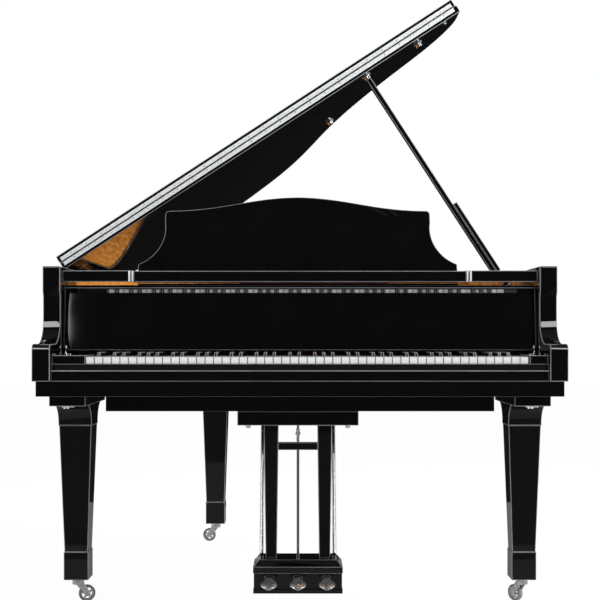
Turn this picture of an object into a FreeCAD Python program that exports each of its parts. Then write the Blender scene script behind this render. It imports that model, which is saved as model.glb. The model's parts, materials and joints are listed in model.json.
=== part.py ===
import FreeCAD, Part
import Sketcher
import math
import os

doc = FreeCAD.newDocument("grand_piano")
sheet = doc.addObject("Spreadsheet::Sheet", "Sizes")

# Driving sizes in millimetres and degrees. Depths are counted back from the front of the arms.
SIZES = {
    "bass_block": 93.4, "treble_block": 53.4, "case_length": 1546, "rim_thickness": 50, "rim_top": 982,
    "rim_bottom": 657, "rim_front": 150, "arm_face": 136, "arm_block_height": 103,
    "arm_face_height": 70, "arm_step": 7, "arm_sweep": 70, "lining_thickness": 2,
    "keybed_front": 15, "keybed_depth": 430, "keybed_thickness": 42, "keybed_inset": 8,
    "slip_front": 15, "slip_depth": 16, "slip_front_height": 29, "slip_height": 48,
    "key_pitch": 23.6, "key_gap": 1.0, "bend_start": 509,
    "natural_length": 148, "natural_height": 20, "key_top": 724.5, "sharp_length": 95,
    "sharp_height": 12, "sharp_foot": 10.5, "sharp_crown": 8.5, "key_tail": 60,
    "shift_room": 3.2, "block_height": 72, "block_depth": 148,
    "fall_foot": 190, "fall_thickness": 18, "fall_top_gap": 8, "fall_clearance": 4.5,
    "fall_lean": 6, "fall_lip": 14, "fall_side_gap": 0.6,
    "stretcher_front": 240, "stretcher_depth": 45, "stretcher_foot": 850,
    "stretcher_height": 74, "beam_inset": 172, "beam_front": 190, "beam_depth": 54,
    "beam_height": 52, "belly_front": 445, "belly_depth": 45, "board_level": 800,
    "board_thickness": 9, "ledge_width": 45, "rib_height": 22, "rib_width": 24,
    "post_height": 80, "post_width": 70, "bridge_height": 36, "bridge_width": 30,
    "plate_level": 850, "plate_thickness": 14, "plate_flange": 46, "strut_height": 24,
    "strut_width": 24, "break_room": 34, "web_front": 300, "web_depth": 160, "pin_block_thickness": 40,
    "pin_radius": 3.4, "pin_height": 26, "wire_radius": 0.8, "wound_radius": 1.6,
    "shelf_front": 160, "shelf_depth": 210, "shelf_drop": 44, "shelf_thickness": 33,
    "tray_half": 480, "tray_thickness": 24, "tray_gap": 0.5, "ledge_rise": 8,
    "desk_end_gap": 10, "desk_shift": 7, "desk_thickness": 14, "desk_height": 242, "desk_shoulder": 198,
    "desk_scoop": 75, "desk_neck": 160, "desk_corner": 12, "desk_end": 28, "desk_line": 226,
    "desk_lean": 17, "strut_reach": 70, "strut_length": 77.4, "strut_lean": 40,
    "lid_angle": 33.1, "lid_thickness": 23,
    "lid_rise": 2, "lid_front": 431, "lid_overhang": 4, "flap_depth": 282, "lid_gap": 0.6,
    "leaf_thickness": 1.6, "butt_length": 75, "butt_width": 34,
    "butt_pin_radius": 3, "prop_drop": 60.19, "prop_inset": 30, "prop_y": 490, "prop_width": 15,
    "prop_depth": 26, "short_length": 255, "short_width": 13, "cup_height": 12,
    "leg_inset": 85, "leg_y": 228, "rear_leg_x": 320, "rear_leg_inset": 321, "leg_plate_width": 102,
    "leg_plate_depth": 326, "leg_plate_height": 30, "leg_cove": 62, "leg_top": 97,
    "leg_foot": 68, "cuff_width": 72, "cuff_height": 82, "caster_height": 71,
    "wheel_radius": 24, "wheel_width": 15, "caster_trail": 26, "stem_radius": 6,
    "axle_radius": 4, "running_gap": 0.05, "lyre_x": -6, "lyre_head_width": 352,
    "lyre_head_height": 41, "lyre_head_depth": 120, "lyre_front": 195, "post_gap": 156,
    "post_side": 42, "post_foot": 32, "lyre_rail_level": 449, "lyre_rail_height": 22, "box_width": 254,
    "box_foot": 42, "box_height": 76, "box_depth": 130, "box_front": 150, "box_cap": 18,
    "pedal_gap": 82, "pedal_pin_half": 30.5, "pedal_width": 20, "pedal_toe": 34, "pedal_thickness": 10,
    "pedal_reach": 92, "pedal_level": 84, "rod_radius": 4, "brace_radius": 6,
    "damper_width": 7, "damper_depth": 34, "damper_height": 22, "damper_line": 500, "damper_gap": 0.6,
    "arm_nose": 16, "arm_step_rise": 20, "arm_brow": 4, "lining_drop": 8, "slip_top": 4, "front_rail": 40,
    "front_rail_depth": 80, "rail_drop": 12, "back_rail_gap": 5, "rest_gap": 0.3, "sharp_seat": 6,
    "lip_rise": 8, "rear_pad": 15, "rear_pad_half": 150, "board_front": 30, "rib_start": 70,
    "rib_pitch": 135, "rib_lean": 24, "flange_gap": 2, "hitch_inset": 70, "pin_setback": 31,
    "pin_row": 16, "pin_to_wire": 9, "wire_lift": 0.3, "strut_start": 64, "block_lip": 10,
    "tray_setback": 4, "ledge_depth": 12, "desk_rest": 5, "stick_width": 16, "stick_thickness": 5,
    "stick_half_gap": 182, "stick_rest": 5.5, "hinge_out": 7, "lid_setback": 9, "leaf_margin": 10,
    "leaf_edge": 9, "leaf_room": 1.8, "barrel_radius": 1.5, "leaf_top": 1, "barrel_gap": 0.3, "butt_plate": 3,
    "butt_stand": 6, "plate_drop": 4, "butt_radius": 6, "knuckle_arm": 5, "knuckle_gap": 0.5,
    "tongue_extra": 14,
    "cup_flange": 17, "cup_radius": 11, "cup_base": 3, "tip_gap": 0.5, "short_start": 70,
    "short_gap": 0.5, "stub_radius": 6, "stub_start": 8, "stub_length": 60, "stem_depth": 45,
    "shaft_ease": 3, "fork_room": 1.5, "fork_cheek": 4, "fork_crown": 17, "fork_root": 10,
    "fork_end": 7.5, "fork_bite": 8, "crown_gap": 0.6, "crown_lift": 5,
    "head_lip": 10, "box_wall": 14, "box_back": 8, "box_roof": 6, "band_height": 18, "band_out": 2,
    "collar_step": 30, "rod_back": 14,
    "pedal_pin_back": 20, "slot_side": 2, "slot_over": 3, "slot_under": 9, "rod_gap": 0.6,
    "rail_back": 8, "rail_depth": 20, "brace_spread": 108, "brace_foot": 24, "brace_head": 22,
    "brace_bite": 2, "rod_foot_gap": 0.4, "rod_head_gap": 14, "lever_end": 8, "pin_ease": 1,
    "stem_room": 2, "axle_end": 0.5,
}
row = 0
for name, value in SIZES.items():
    row += 1
    sheet.set("A%d" % row, str(value))
    sheet.setAlias("A%d" % row, name)
doc.recompute()


class Size:
    """A length with the expression it comes from, so that shapes follow the sheet."""

    def __init__(self, text, value):
        self.text = text
        self.value = value

    def _join(self, other, sign, value, swap=False):
        right = other.text if isinstance(other, Size) else "(%r)" % float(other)
        first, second = (right, self.text) if swap else (self.text, right)
        return Size("(%s %s %s)" % (first, sign, second), value)

    def __add__(self, other):
        return self._join(other, "+", self.value + plain(other))

    def __radd__(self, other):
        return self._join(other, "+", plain(other) + self.value, True)

    def __sub__(self, other):
        return self._join(other, "-", self.value - plain(other))

    def __rsub__(self, other):
        return self._join(other, "-", plain(other) - self.value, True)

    def __mul__(self, other):
        return self._join(other, "*", self.value * plain(other))

    def __rmul__(self, other):
        return self._join(other, "*", plain(other) * self.value, True)

    def __truediv__(self, other):
        return self._join(other, "/", self.value / plain(other))

    def __neg__(self):
        return Size("(0 - %s)" % self.text, -self.value)


def plain(size):
    """Number behind a size, or the number itself."""
    return size.value if isinstance(size, Size) else float(size)


def sine(angle):
    """Sine of an angle in degrees."""
    return Size("sin(%s)" % angle.text, math.sin(math.radians(angle.value)))


def cosine(angle):
    """Cosine of an angle in degrees."""
    return Size("cos(%s)" % angle.text, math.cos(math.radians(angle.value)))


class Sheet:
    """Reads sizes from the spreadsheet by name."""

    def __getattr__(self, name):
        return Size("Sizes." + name, float(sheet.get(name)))


S = Sheet()
NODES = []


def bind(thing, prop, size):
    """Tie a property to a size's expression."""
    if isinstance(size, Size):
        thing.setExpression(prop, size.text)
    else:
        thing.setExpression(prop, "%r" % float(size))


def place(thing, x, y, z):
    """Move a shape to a place that follows the sheet."""
    bind(thing, "Placement.Base.x", x)
    bind(thing, "Placement.Base.y", y)
    bind(thing, "Placement.Base.z", z)
    return thing


def node(thing, label):
    """Keep a shape as a named node of the part."""
    thing.Label = label
    NODES.append(thing)
    return thing


def box(x0, x1, y0, y1, z0, z1):
    """A block between six planes."""
    thing = doc.addObject("Part::Box", "block")
    bind(thing, "Length", x1 - x0)
    bind(thing, "Width", y1 - y0)
    bind(thing, "Height", z1 - z0)
    return place(thing, x0, y0, z0)


def cylinder(x, y, z, radius, height, axis=None):
    """A cylinder from a point up, or along x or y."""
    thing = doc.addObject("Part::Cylinder", "round")
    bind(thing, "Radius", radius)
    bind(thing, "Height", height)
    if axis == "x":
        thing.Placement.Rotation = FreeCAD.Rotation(FreeCAD.Vector(0, 1, 0), 90)
    if axis == "y":
        thing.Placement.Rotation = FreeCAD.Rotation(FreeCAD.Vector(1, 0, 0), -90)
    return place(thing, x, y, z)


def taper(x, y, z0, z1, foot_x, foot_y, top_x, top_y):
    """A four-sided block standing on z0, narrowing or widening to the top."""
    thing = doc.addObject("Part::Wedge", "taper")
    for prop, size in (("Xmin", -foot_x / 2), ("Xmax", foot_x / 2), ("Zmin", -foot_y / 2),
                       ("Zmax", foot_y / 2), ("X2min", -top_x / 2), ("X2max", top_x / 2),
                       ("Z2min", -top_y / 2), ("Z2max", top_y / 2), ("Ymax", z1 - z0)):
        bind(thing, prop, size)
    thing.Ymin = 0
    thing.Placement.Rotation = FreeCAD.Rotation(FreeCAD.Vector(1, 0, 0), 90)
    return place(thing, x, y, z0)


def fuse(*things):
    """One solid out of several that touch."""
    thing = doc.addObject("Part::MultiFuse", "joined")
    thing.Shapes = list(things)
    thing.Refine = True
    return thing


def cut(base, tool):
    """The base with the tool's space taken out."""
    thing = doc.addObject("Part::Cut", "cut")
    thing.Base = base
    thing.Tool = tool
    return thing


def group(things):
    """Several solids as one node."""
    thing = doc.addObject("Part::Compound", "group")
    thing.Links = list(things)
    return thing


def feature(shape, x=0, y=0, z=0, axis=None, angle=None):
    """A worked-out shape, placed and turned from sizes."""
    thing = doc.addObject("Part::Feature", "shape")
    thing.Shape = shape
    place(thing, x, y, z)
    if axis is not None:
        thing.Placement.Rotation = FreeCAD.Rotation(FreeCAD.Vector(*axis), plain(angle))
        bind(thing, "Placement.Rotation.Angle", angle)
    return thing


def pad(points, along, start, length, rounds=()):
    """A body padded from a profile; along is the axis it is padded on, rounds are (point, radius)."""
    role = {"x": "YZ_Plane", "y": "XZ_Plane", "z": "XY_Plane"}[along]
    body = doc.addObject("PartDesign::Body", "body")
    sketch = body.newObject("Sketcher::SketchObject", "profile")
    plane = [f for f in body.Origin.OriginFeatures if f.Role == role][0]
    sketch.AttachmentSupport = [(plane, "")]
    sketch.MapMode = "FlatFace"
    sign = -1 if along == "y" else 1
    bind(sketch, "AttachmentOffset.Base.z", start * sign)
    spots = [FreeCAD.Vector(plain(a), plain(b), 0) for a, b in points]
    for i in range(len(spots)):
        sketch.addGeometry(Part.LineSegment(spots[i], spots[(i + 1) % len(spots)]), False)
    for i in range(len(spots)):
        sketch.addConstraint(Sketcher.Constraint("Coincident", i, 2, (i + 1) % len(spots), 1))
    for i, (a, b) in enumerate(points):
        for kind, size in (("DistanceX", a), ("DistanceY", b)):
            at = sketch.addConstraint(Sketcher.Constraint(kind, -1, 1, i, 1, plain(size)))
            bind(sketch, "Constraints[%d]" % at, size)
    solid = body.newObject("PartDesign::Pad", "pad")
    solid.Profile = sketch
    bind(solid, "Length", length)
    solid.Reversed = along == "y"
    doc.recompute()
    last = solid
    for point, radius in rounds:
        a, b = (plain(v) for v in points[point])
        names = []
        for k, edge in enumerate(last.Shape.Edges):
            ends = [v.Point for v in edge.Vertexes]
            flat = [{"x": (p.y, p.z), "y": (p.x, p.z), "z": (p.x, p.y)}[along] for p in ends]
            if all(abs(p[0] - a) < 0.01 and abs(p[1] - b) < 0.01 for p in flat):
                names.append("Edge%d" % (k + 1))
        blend = body.newObject("PartDesign::Fillet", "blend")
        blend.Base = (last, names)
        bind(blend, "Radius", radius)
        doc.recompute()
        last = blend
    return body


# The case stands a little right of the middle, since the open lid leans out past the bass side.
pack = S.lid_thickness * 2 + S.lid_gap
mid = pack * sine(S.lid_angle) / 2
NATURALS = 52
case_width = S.key_pitch * NATURALS + S.bass_block + S.treble_block + S.rim_thickness * 2
half = case_width / 2
front = -S.case_length / 2
inner = half - S.rim_thickness
lined = inner - S.lining_thickness
left = mid - half
keybed_foot = S.rim_bottom - S.keybed_thickness
shelf_foot = S.rim_top - S.shelf_drop


def back(depth):
    """Place along y of a depth behind the front of the arms."""
    return front + depth


# Curved outline of the case, as shares of the width from the bass side and of the run from bend to tail.
BENT = ((1.0, 0.0), (0.998, 0.037), (0.984, 0.097), (0.945, 0.172), (0.860, 0.249), (0.745, 0.373),
        (0.672, 0.522), (0.612, 0.706), (0.540, 0.849), (0.420, 0.948), (0.280, 1.0), (0.140, 0.958),
        (0.042, 0.851), (0.004, 0.716), (0.0, 0.657))


def bent_curve(inset):
    """Points of the bentside and tail, moved inwards by inset, from treble to bass."""
    width = plain(case_width)
    bend = plain(S.bend_start)
    run_back = plain(S.case_length - S.lid_overhang) - bend
    spots = [FreeCAD.Vector(a * width, bend + b * run_back, 0) for a, b in BENT]
    curve = Part.BSplineCurve()
    curve.interpolate(Points=spots)
    moved = []
    steps = 48
    for i in range(steps + 1):
        at = curve.FirstParameter + (curve.LastParameter - curve.FirstParameter) * i / steps
        spot = curve.value(at)
        run = curve.tangent(at)[0]
        moved.append(FreeCAD.Vector(spot.x - run.y * inset, spot.y + run.x * inset, 0))
    moved[0] = FreeCAD.Vector(width - inset, spots[0].y, 0)
    moved[-1] = FreeCAD.Vector(inset, spots[-1].y, 0)
    result = Part.BSplineCurve()
    result.interpolate(Points=moved)
    return result.toShape(), moved[0], moved[-1]


def plan(inset, depth, foot, top):
    """Solid of the case outline inset all round, starting at a depth, between two heights."""
    inset = plain(inset)
    depth = plain(depth)
    curve, first, last = bent_curve(inset)
    a = FreeCAD.Vector(last.x, depth, 0)
    b = FreeCAD.Vector(first.x, depth, 0)
    wire = Part.Wire([Part.makeLine(a, b), Part.makeLine(b, first), curve, Part.makeLine(last, a)])
    below = FreeCAD.Matrix()
    below.move(FreeCAD.Vector(0, 0, plain(foot)))
    face = Part.Face(wire.transformGeometry(below))
    return face.extrude(FreeCAD.Vector(0, 0, plain(top - foot)))


def ring(outer, thickness, depth, foot, top):
    """A wall that follows the case outline."""
    past = thickness
    hollow = plan(outer + thickness, depth - past, foot - past, top + past)
    return plan(outer, depth, foot, top).cut(hollow)


def case_feature(shape):
    """A shape drawn from the bass front corner of the case."""
    return feature(shape, left, front, 0)


zero = S.rim_top * 0
plate_top = S.plate_level + S.plate_thickness
board_top = S.board_level + S.board_thickness

# Case
node(case_feature(ring(zero, S.rim_thickness, S.rim_front, S.rim_bottom, S.rim_top)), "outer_rim")
node(case_feature(ring(S.rim_thickness, S.lining_thickness, S.stretcher_front, S.board_level,
                       S.rim_top - S.lining_drop)), "rim_lining")
node(case_feature(ring(S.rim_thickness, S.ledge_width, S.belly_front, S.rim_bottom,
                       S.board_level)), "inner_rim")
arm_step_height = S.rim_top - S.arm_face_height
arm_ledge = S.rim_bottom + S.arm_block_height
arm_profile = ((back(0), S.rim_bottom), (back(S.rim_front), S.rim_bottom), (back(S.rim_front), S.rim_top),
               (back(S.arm_face), S.rim_top), (back(S.arm_face), arm_step_height),
               (back(S.arm_face + S.arm_step), arm_step_height - S.arm_step_rise),
               (back(S.arm_face + S.arm_step), arm_ledge), (back(0), arm_ledge))
for label, at in (("bass_arm", left), ("treble_arm", mid + inner)):
    node(pad(arm_profile, "x", at, S.rim_thickness, ((6, S.arm_sweep), (7, S.arm_nose), (3, S.arm_brow))),
         label)
node(box(mid - half + S.keybed_inset, mid + half - S.keybed_inset, back(S.keybed_front),
         back(S.keybed_depth), keybed_foot, S.rim_bottom), "keybed")
slip_profile = ((back(S.slip_front), S.rim_bottom), (back(S.slip_front + S.slip_depth), S.rim_bottom),
                (back(S.slip_front + S.slip_depth), S.rim_bottom + S.slip_height),
                (back(S.slip_front + S.slip_depth - S.slip_top), S.rim_bottom + S.slip_height),
                (back(S.slip_front), S.rim_bottom + S.slip_front_height))
node(pad(slip_profile, "x", mid - inner, inner * 2, ()), "keyslip")

# Keyboard
keys_left = mid - inner + S.bass_block
keys_right = keys_left + S.key_pitch * NATURALS
block_front = S.slip_front + S.slip_depth
for label, x0, x1 in (("bass_key_block", mid - inner, keys_left - S.key_gap),
                      ("treble_key_block", keys_right + S.shift_room, mid + inner)):
    node(box(x0, x1, back(block_front), back(block_front + S.block_depth), S.rim_bottom,
             S.rim_bottom + S.block_height), label)
key_start = block_front + S.key_gap
key_foot = S.key_top - S.natural_height
rail_start = key_start + S.front_rail
node(group([box(keys_left, keys_right, back(rail_start), back(rail_start + S.front_rail_depth), S.rim_bottom,
                key_foot - S.rail_drop),
            box(keys_left, keys_right, back(key_start + S.natural_length + S.back_rail_gap),
                back(key_start + S.natural_length + S.key_tail), S.rim_bottom,
                key_foot - S.rest_gap)]), "key_frame")
PATTERN = "ABCDEFG"
BASS_NATURALS = 23
# Share of a sharp's width that each white key gives up on its right and on its left
RIGHT_CUT = {"A": 0.34, "C": 0.62, "D": 0.38, "F": 0.66, "G": 0.50, "B": 0.0, "E": 0.0}
LEFT_CUT = {"A": 0.50, "B": 0.66, "D": 0.38, "E": 0.62, "G": 0.34, "C": 0.0, "F": 0.0}
naturals = {"bass": [], "treble": []}
sharps = {"bass": [], "treble": []}
key_end = key_start + S.natural_length + S.key_tail
notch = key_start + S.natural_length - S.sharp_length
for i in range(NATURALS):
    letter = PATTERN[i % 7]
    bank = "bass" if i < BASS_NATURALS else "treble"
    x0 = keys_left + S.key_pitch * i + S.key_gap / 2
    x1 = keys_left + S.key_pitch * (i + 1) - S.key_gap / 2
    low = 0.0 if i == 0 else LEFT_CUT[letter]
    high = 0.0 if i == NATURALS - 1 else RIGHT_CUT[letter]
    a = x0 + S.sharp_foot * low + (S.key_gap if low else zero)
    b = x1 - S.sharp_foot * high - (S.key_gap if high else zero)
    head = box(x0, x1, back(key_start), back(notch), key_foot, S.key_top)
    if low or high:
        tail = box(a, b, back(notch), back(key_end), key_foot, S.key_top)
        naturals[bank].append(fuse(head, tail))
    else:
        naturals[bank].append(box(x0, x1, back(key_start), back(key_end), key_foot, S.key_top))
    if high:
        following = LEFT_CUT[PATTERN[(i + 1) % 7]]
        centre = keys_left + S.key_pitch * (i + 1) + S.sharp_foot * ((following - high) / 2)
        span = S.sharp_foot * (following + high)
        seat = S.key_top - S.sharp_seat
        sharp_run = key_end - notch - S.key_gap * 2
        sharps[bank].append(fuse(
            taper(centre, back((notch + key_end) / 2 + S.key_gap), seat, S.key_top + S.sharp_height, span,
                  sharp_run, span * (S.sharp_crown / S.sharp_foot), sharp_run - S.sharp_foot),
            box(centre - span / 2, centre + span / 2, back(notch + S.key_gap * 2), back(key_end), key_foot,
                seat)))
for bank in ("bass", "treble"):
    node(group(naturals[bank]), bank + "_naturals")
    node(group(sharps[bank]), bank + "_sharps")

# Fallboard, leaning back behind the keys on two side pins
fall_side = S.fall_side_gap
fall_foot_height = S.key_top + S.sharp_height + S.fall_clearance
fall_height = (shelf_foot - fall_foot_height - S.fall_top_gap) / cosine(S.fall_lean)
fall_profile = ((zero, zero), (S.fall_thickness, zero), (S.fall_thickness, fall_height),
                (-S.fall_lip * 0.35, fall_height), (-S.fall_lip * 0.6, fall_height - S.lip_rise),
                (zero, fall_height - S.fall_lip * 1.6))
fallboard = pad(fall_profile, "x", mid - inner + fall_side, inner * 2 - fall_side * 2)
fallboard.Placement.Rotation = FreeCAD.Rotation(FreeCAD.Vector(-1, 0, 0), plain(S.fall_lean))
bind(fallboard, "Placement.Rotation.Angle", S.fall_lean)
place(fallboard, zero, back(S.fall_foot), fall_foot_height)
node(fallboard, "fallboard")

# Cross pieces under and inside the case
node(box(mid - lined, mid + lined, back(S.stretcher_front), back(S.stretcher_front + S.stretcher_depth),
         S.stretcher_foot, S.stretcher_foot + S.stretcher_height), "stretcher")
beam_half = half - S.beam_inset
keybed_beam = box(mid - beam_half, mid + beam_half, back(S.beam_front), back(S.beam_front + S.beam_depth),
                  keybed_foot - S.beam_height, keybed_foot)
node(box(mid - inner, mid + inner, back(S.belly_front - S.belly_depth), back(S.belly_front),
         S.rim_bottom, S.board_level), "belly_rail")
rear_x = mid - S.rear_leg_x
rear_leg_y = S.case_length - S.rear_leg_inset
hollow = plan(S.rim_thickness + S.ledge_width, S.belly_front, S.rim_bottom, S.board_level)
hollow.translate(FreeCAD.Vector(plain(left), plain(front), 0))
posts = []
reach_all = plain(S.case_length + case_width)
POSTS = ((-0.61, 0), (-0.087, -14), (0.48, -32))
for share, lean in POSTS:
    beam = Part.makeBox(plain(S.post_width), reach_all, plain(S.post_height))
    beam.rotate(FreeCAD.Vector(0, 0, 0), FreeCAD.Vector(0, 0, 1), -lean)
    beam.translate(FreeCAD.Vector(plain(mid + inner * share), plain(back(S.belly_front)),
                                  plain(S.rim_bottom)))
    posts.append(beam.common(hollow).Solids[0])
posts[1] = posts[1].cut(posts[0])
posts[2] = posts[2].cut(posts[1]).cut(posts[0])
node(feature(Part.makeCompound([max(p.Solids, key=lambda s: s.Volume) for p in posts])), "frame_posts")
rear_reach = S.leg_plate_depth / 2 + S.rear_pad
rear_block = box(rear_x - S.rear_pad_half, rear_x + S.rear_pad_half, back(rear_leg_y - rear_reach),
                 back(rear_leg_y + rear_reach), keybed_foot, S.rim_bottom)
node(group([keybed_beam, rear_block]), "under_beams")
board_in = S.rim_thickness + S.lining_thickness
board_start = S.belly_front - S.board_front
node(case_feature(plan(board_in, board_start, S.board_level, board_top)), "soundboard")
ribs = []
RIBS = 7
for i in range(RIBS):
    rib = Part.makeBox(reach_all, plain(S.rib_width), plain(S.rib_height))
    rib.translate(FreeCAD.Vector(-plain(half) / 2, plain(S.belly_front + S.rib_start + S.rib_pitch * i), 0))
    rib.rotate(FreeCAD.Vector(plain(half), plain(S.belly_front) * 2, 0), FreeCAD.Vector(0, 0, 1),
               plain(S.rib_lean))
    rib.translate(FreeCAD.Vector(plain(left), plain(front), plain(S.board_level - S.rib_height)))
    crossed = rib.common(hollow).Solids
    if crossed:
        ribs.append(max(crossed, key=lambda s: s.Volume))
node(feature(Part.makeCompound(ribs)), "soundboard_ribs")


def curved_bar(points, width, foot, top):
    """A bar following a smooth curve in plan, given by points from the bass front corner of the case."""
    curve = Part.BSplineCurve()
    curve.interpolate(Points=[FreeCAD.Vector(a, b, 0) for a, b in points])
    sides = [[], []]
    steps = 24
    for i in range(steps + 1):
        at = curve.FirstParameter + (curve.LastParameter - curve.FirstParameter) * i / steps
        spot = curve.value(at)
        run = curve.tangent(at)[0]
        for side, way in ((0, 0.5), (1, -0.5)):
            sides[side].append(FreeCAD.Vector(spot.x - run.y * width * way, spot.y + run.x * width * way, 0))
    edges = []
    for side in sides:
        line = Part.BSplineCurve()
        line.interpolate(Points=side)
        edges.append(line.toShape())
    edges.append(Part.makeLine(sides[0][0], sides[1][0]))
    edges.append(Part.makeLine(sides[0][-1], sides[1][-1]))
    face = Part.Face(Part.Wire(Part.__sortEdges__(edges)))
    solid = face.extrude(FreeCAD.Vector(0, 0, top - foot))
    solid.translate(FreeCAD.Vector(plain(left), plain(front), foot))
    return solid


wide = plain(case_width)
long = plain(S.case_length)
# Bridges as shares of the width and of the run from bend to tail
LONG_BRIDGE = ((0.880, 0.082), (0.79, 0.143), (0.66, 0.285), (0.58, 0.45), (0.50, 0.645), (0.40, 0.757))
BASS_BRIDGE = ((0.13, 0.772), (0.22, 0.832), (0.32, 0.862))
bend = plain(S.bend_start)
bars = [curved_bar([(a * wide, bend + b * (long - bend)) for a, b in line], plain(S.bridge_width),
                   plain(board_top), plain(board_top + S.bridge_height))
        for line in (LONG_BRIDGE, BASS_BRIDGE)]
node(feature(Part.makeCompound(bars)), "bridges")

NOTES = 88
BREAKS = (26, 46, 66)
BASS_NOTES = 26
hitch_line = bent_curve(plain(S.hitch_inset))[0]


def string_line(i):
    """Start and end of a string in plan, from the bass front corner of the case."""
    share = i / (NOTES - 1.0)
    room = plain(S.break_room)
    passed = sum(1 for note in BREAKS if i >= note)
    x = wide * 0.075 + (wide * 0.85 - room * len(BREAKS)) * share + room * passed
    low, high = hitch_line.ParameterRange
    end = hitch_line.valueAt(low + (high - low) * (0.86 - 0.67 * share - 0.03 * passed))
    return (x, plain(S.web_front + S.pin_setback + S.pin_row * (i % 3))), (end.x, end.y)


# Iron plate: a flange on the board's edge, a web over the pin block, and struts
flange_in = board_in + S.flange_gap
plate = ring(flange_in, S.plate_flange, board_start, board_top, plate_top)
web = plan(flange_in, S.web_front, S.plate_level, plate_top)
keep = Part.makeBox(wide, plain(S.web_depth), plain(S.rim_top))
keep.translate(FreeCAD.Vector(0, plain(S.web_front), 0))
plate = plate.fuse(web.common(keep))
strut_room = plan(flange_in, S.web_front, S.plate_level + S.flange_gap, plate_top + S.strut_height)
for note in BREAKS:
    (ax, ay), (bx, by) = string_line(note - 1)
    (cx, cy), (dx, dy) = string_line(note)
    start = FreeCAD.Vector((ax + cx) / 2, (ay + cy) / 2, 0)
    way = FreeCAD.Vector((bx + dx) / 2, (by + dy) / 2, 0) - start
    way.normalize()
    start = start + way * plain(S.strut_start)
    side = FreeCAD.Vector(way.y, -way.x, 0) * (plain(S.strut_width) / 2)
    corners = [start + side, start - side, start - side + way * reach_all, start + side + way * reach_all]
    bar = Part.Face(Part.makePolygon(corners + corners[:1])).extrude(FreeCAD.Vector(0, 0, plain(S.rim_top)))
    pieces = bar.common(strut_room).Solids
    plate = plate.fuse(min(pieces, key=lambda s: s.BoundBox.YMin))
node(case_feature(plate.removeSplitter()), "iron_plate")
node(box(mid - lined, mid + lined, back(S.web_front - S.block_lip), back(S.belly_front - S.belly_depth),
         S.plate_level - S.pin_block_thickness, S.plate_level), "pin_block")
pins = []
wires = {"plain": [], "wound": []}
for i in range(NOTES):
    (x0, y0), (x1, y1) = string_line(i)
    pins.append(Part.makeCylinder(plain(S.pin_radius), plain(S.pin_height), FreeCAD.Vector(
        plain(left) + x0, plain(front - S.pin_to_wire) + y0, plain(plate_top))))
    kind = "wound" if i < BASS_NOTES else "plain"
    radius = plain(S.wound_radius if i < BASS_NOTES else S.wire_radius)
    level = plain(plate_top + S.wire_lift) + radius
    start = FreeCAD.Vector(plain(left) + x0, plain(front) + y0, level)
    stop = FreeCAD.Vector(plain(left) + x1, plain(front) + y1, level)
    wires[kind].append(Part.makeCylinder(radius, (stop - start).Length, start, stop - start))
node(feature(Part.makeCompound(pins)), "tuning_pins")
node(feature(Part.makeCompound(wires["plain"])), "plain_strings")
node(feature(Part.makeCompound(wires["wound"])), "wound_strings")

# Music shelf
shelf_top = shelf_foot + S.shelf_thickness
rail_edge = S.tray_half + S.tray_gap
shelf_end = back(S.shelf_front + S.shelf_depth)
node(group([box(mid - lined, mid - rail_edge, back(S.shelf_front), shelf_end, shelf_foot, shelf_top),
            box(mid + rail_edge, mid + lined, back(S.shelf_front), shelf_end, shelf_foot,
                shelf_top)]), "music_shelves")
tray_top = shelf_foot + S.tray_thickness
tray_front = S.shelf_front + S.tray_setback
node(fuse(box(mid - S.tray_half, mid + S.tray_half, back(tray_front), shelf_end, shelf_foot, tray_top),
          box(mid - S.tray_half, mid + S.tray_half, back(tray_front), back(tray_front + S.ledge_depth),
              tray_top, tray_top + S.ledge_rise)), "music_tray")

# Music desk: a leaning panel with scooped ends and a humped top, on a hinge line along its foot
HUMP = ((0.85, 0.05), (0.672, 0.216), (0.455, 0.545), (0.21, 0.886))


def desk_panel():
    """Panel standing on the middle of its foot; HUMP is shares of the shoulder and of the rise above it."""
    ends = plain(S.tray_half - S.desk_end_gap)
    neck = ends - plain(S.desk_scoop)
    corner = plain(S.desk_corner)
    end, scoop, shoulder, top = (plain(s) for s in (S.desk_end, S.desk_neck, S.desk_shoulder, S.desk_height))
    hump = [(1.0, 0.0)] + list(HUMP) + [(0.0, 1.0)] + [(-a, b) for a, b in reversed(HUMP)] + [(-1.0, 0.0)]
    line = Part.BSplineCurve()
    line.interpolate(Points=[FreeCAD.Vector(a * (neck - corner), 0, shoulder + b * (top - shoulder))
                             for a, b in hump])
    edges = [line.toShape(), Part.makeLine(FreeCAD.Vector(-ends, 0, 0), FreeCAD.Vector(ends, 0, 0))]
    for side in (-1, 1):
        foot, rim, throat, brow, crown = (FreeCAD.Vector(side * a, 0, b) for a, b in (
            (ends, 0), (ends, end), (neck, scoop), (neck, shoulder - corner), (neck - corner, shoulder)))
        hollow_way = FreeCAD.Vector(side * (neck + (ends - neck) * 0.17), 0, end + (scoop - end) * 0.42)
        bulge = FreeCAD.Vector(side * (neck - corner * 0.293), 0, shoulder - corner * 0.293)
        edges += [Part.makeLine(foot, rim), Part.Arc(rim, hollow_way, throat).toShape(),
                  Part.makeLine(throat, brow), Part.Arc(brow, bulge, crown).toShape()]
    face = Part.Face(Part.Wire(Part.__sortEdges__(edges)))
    return face.extrude(FreeCAD.Vector(0, plain(S.desk_thickness), 0))


node(feature(desk_panel(), mid - S.desk_shift, back(S.desk_line), tray_top + S.desk_rest, (-1, 0, 0),
             S.desk_lean), "music_desk")

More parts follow.
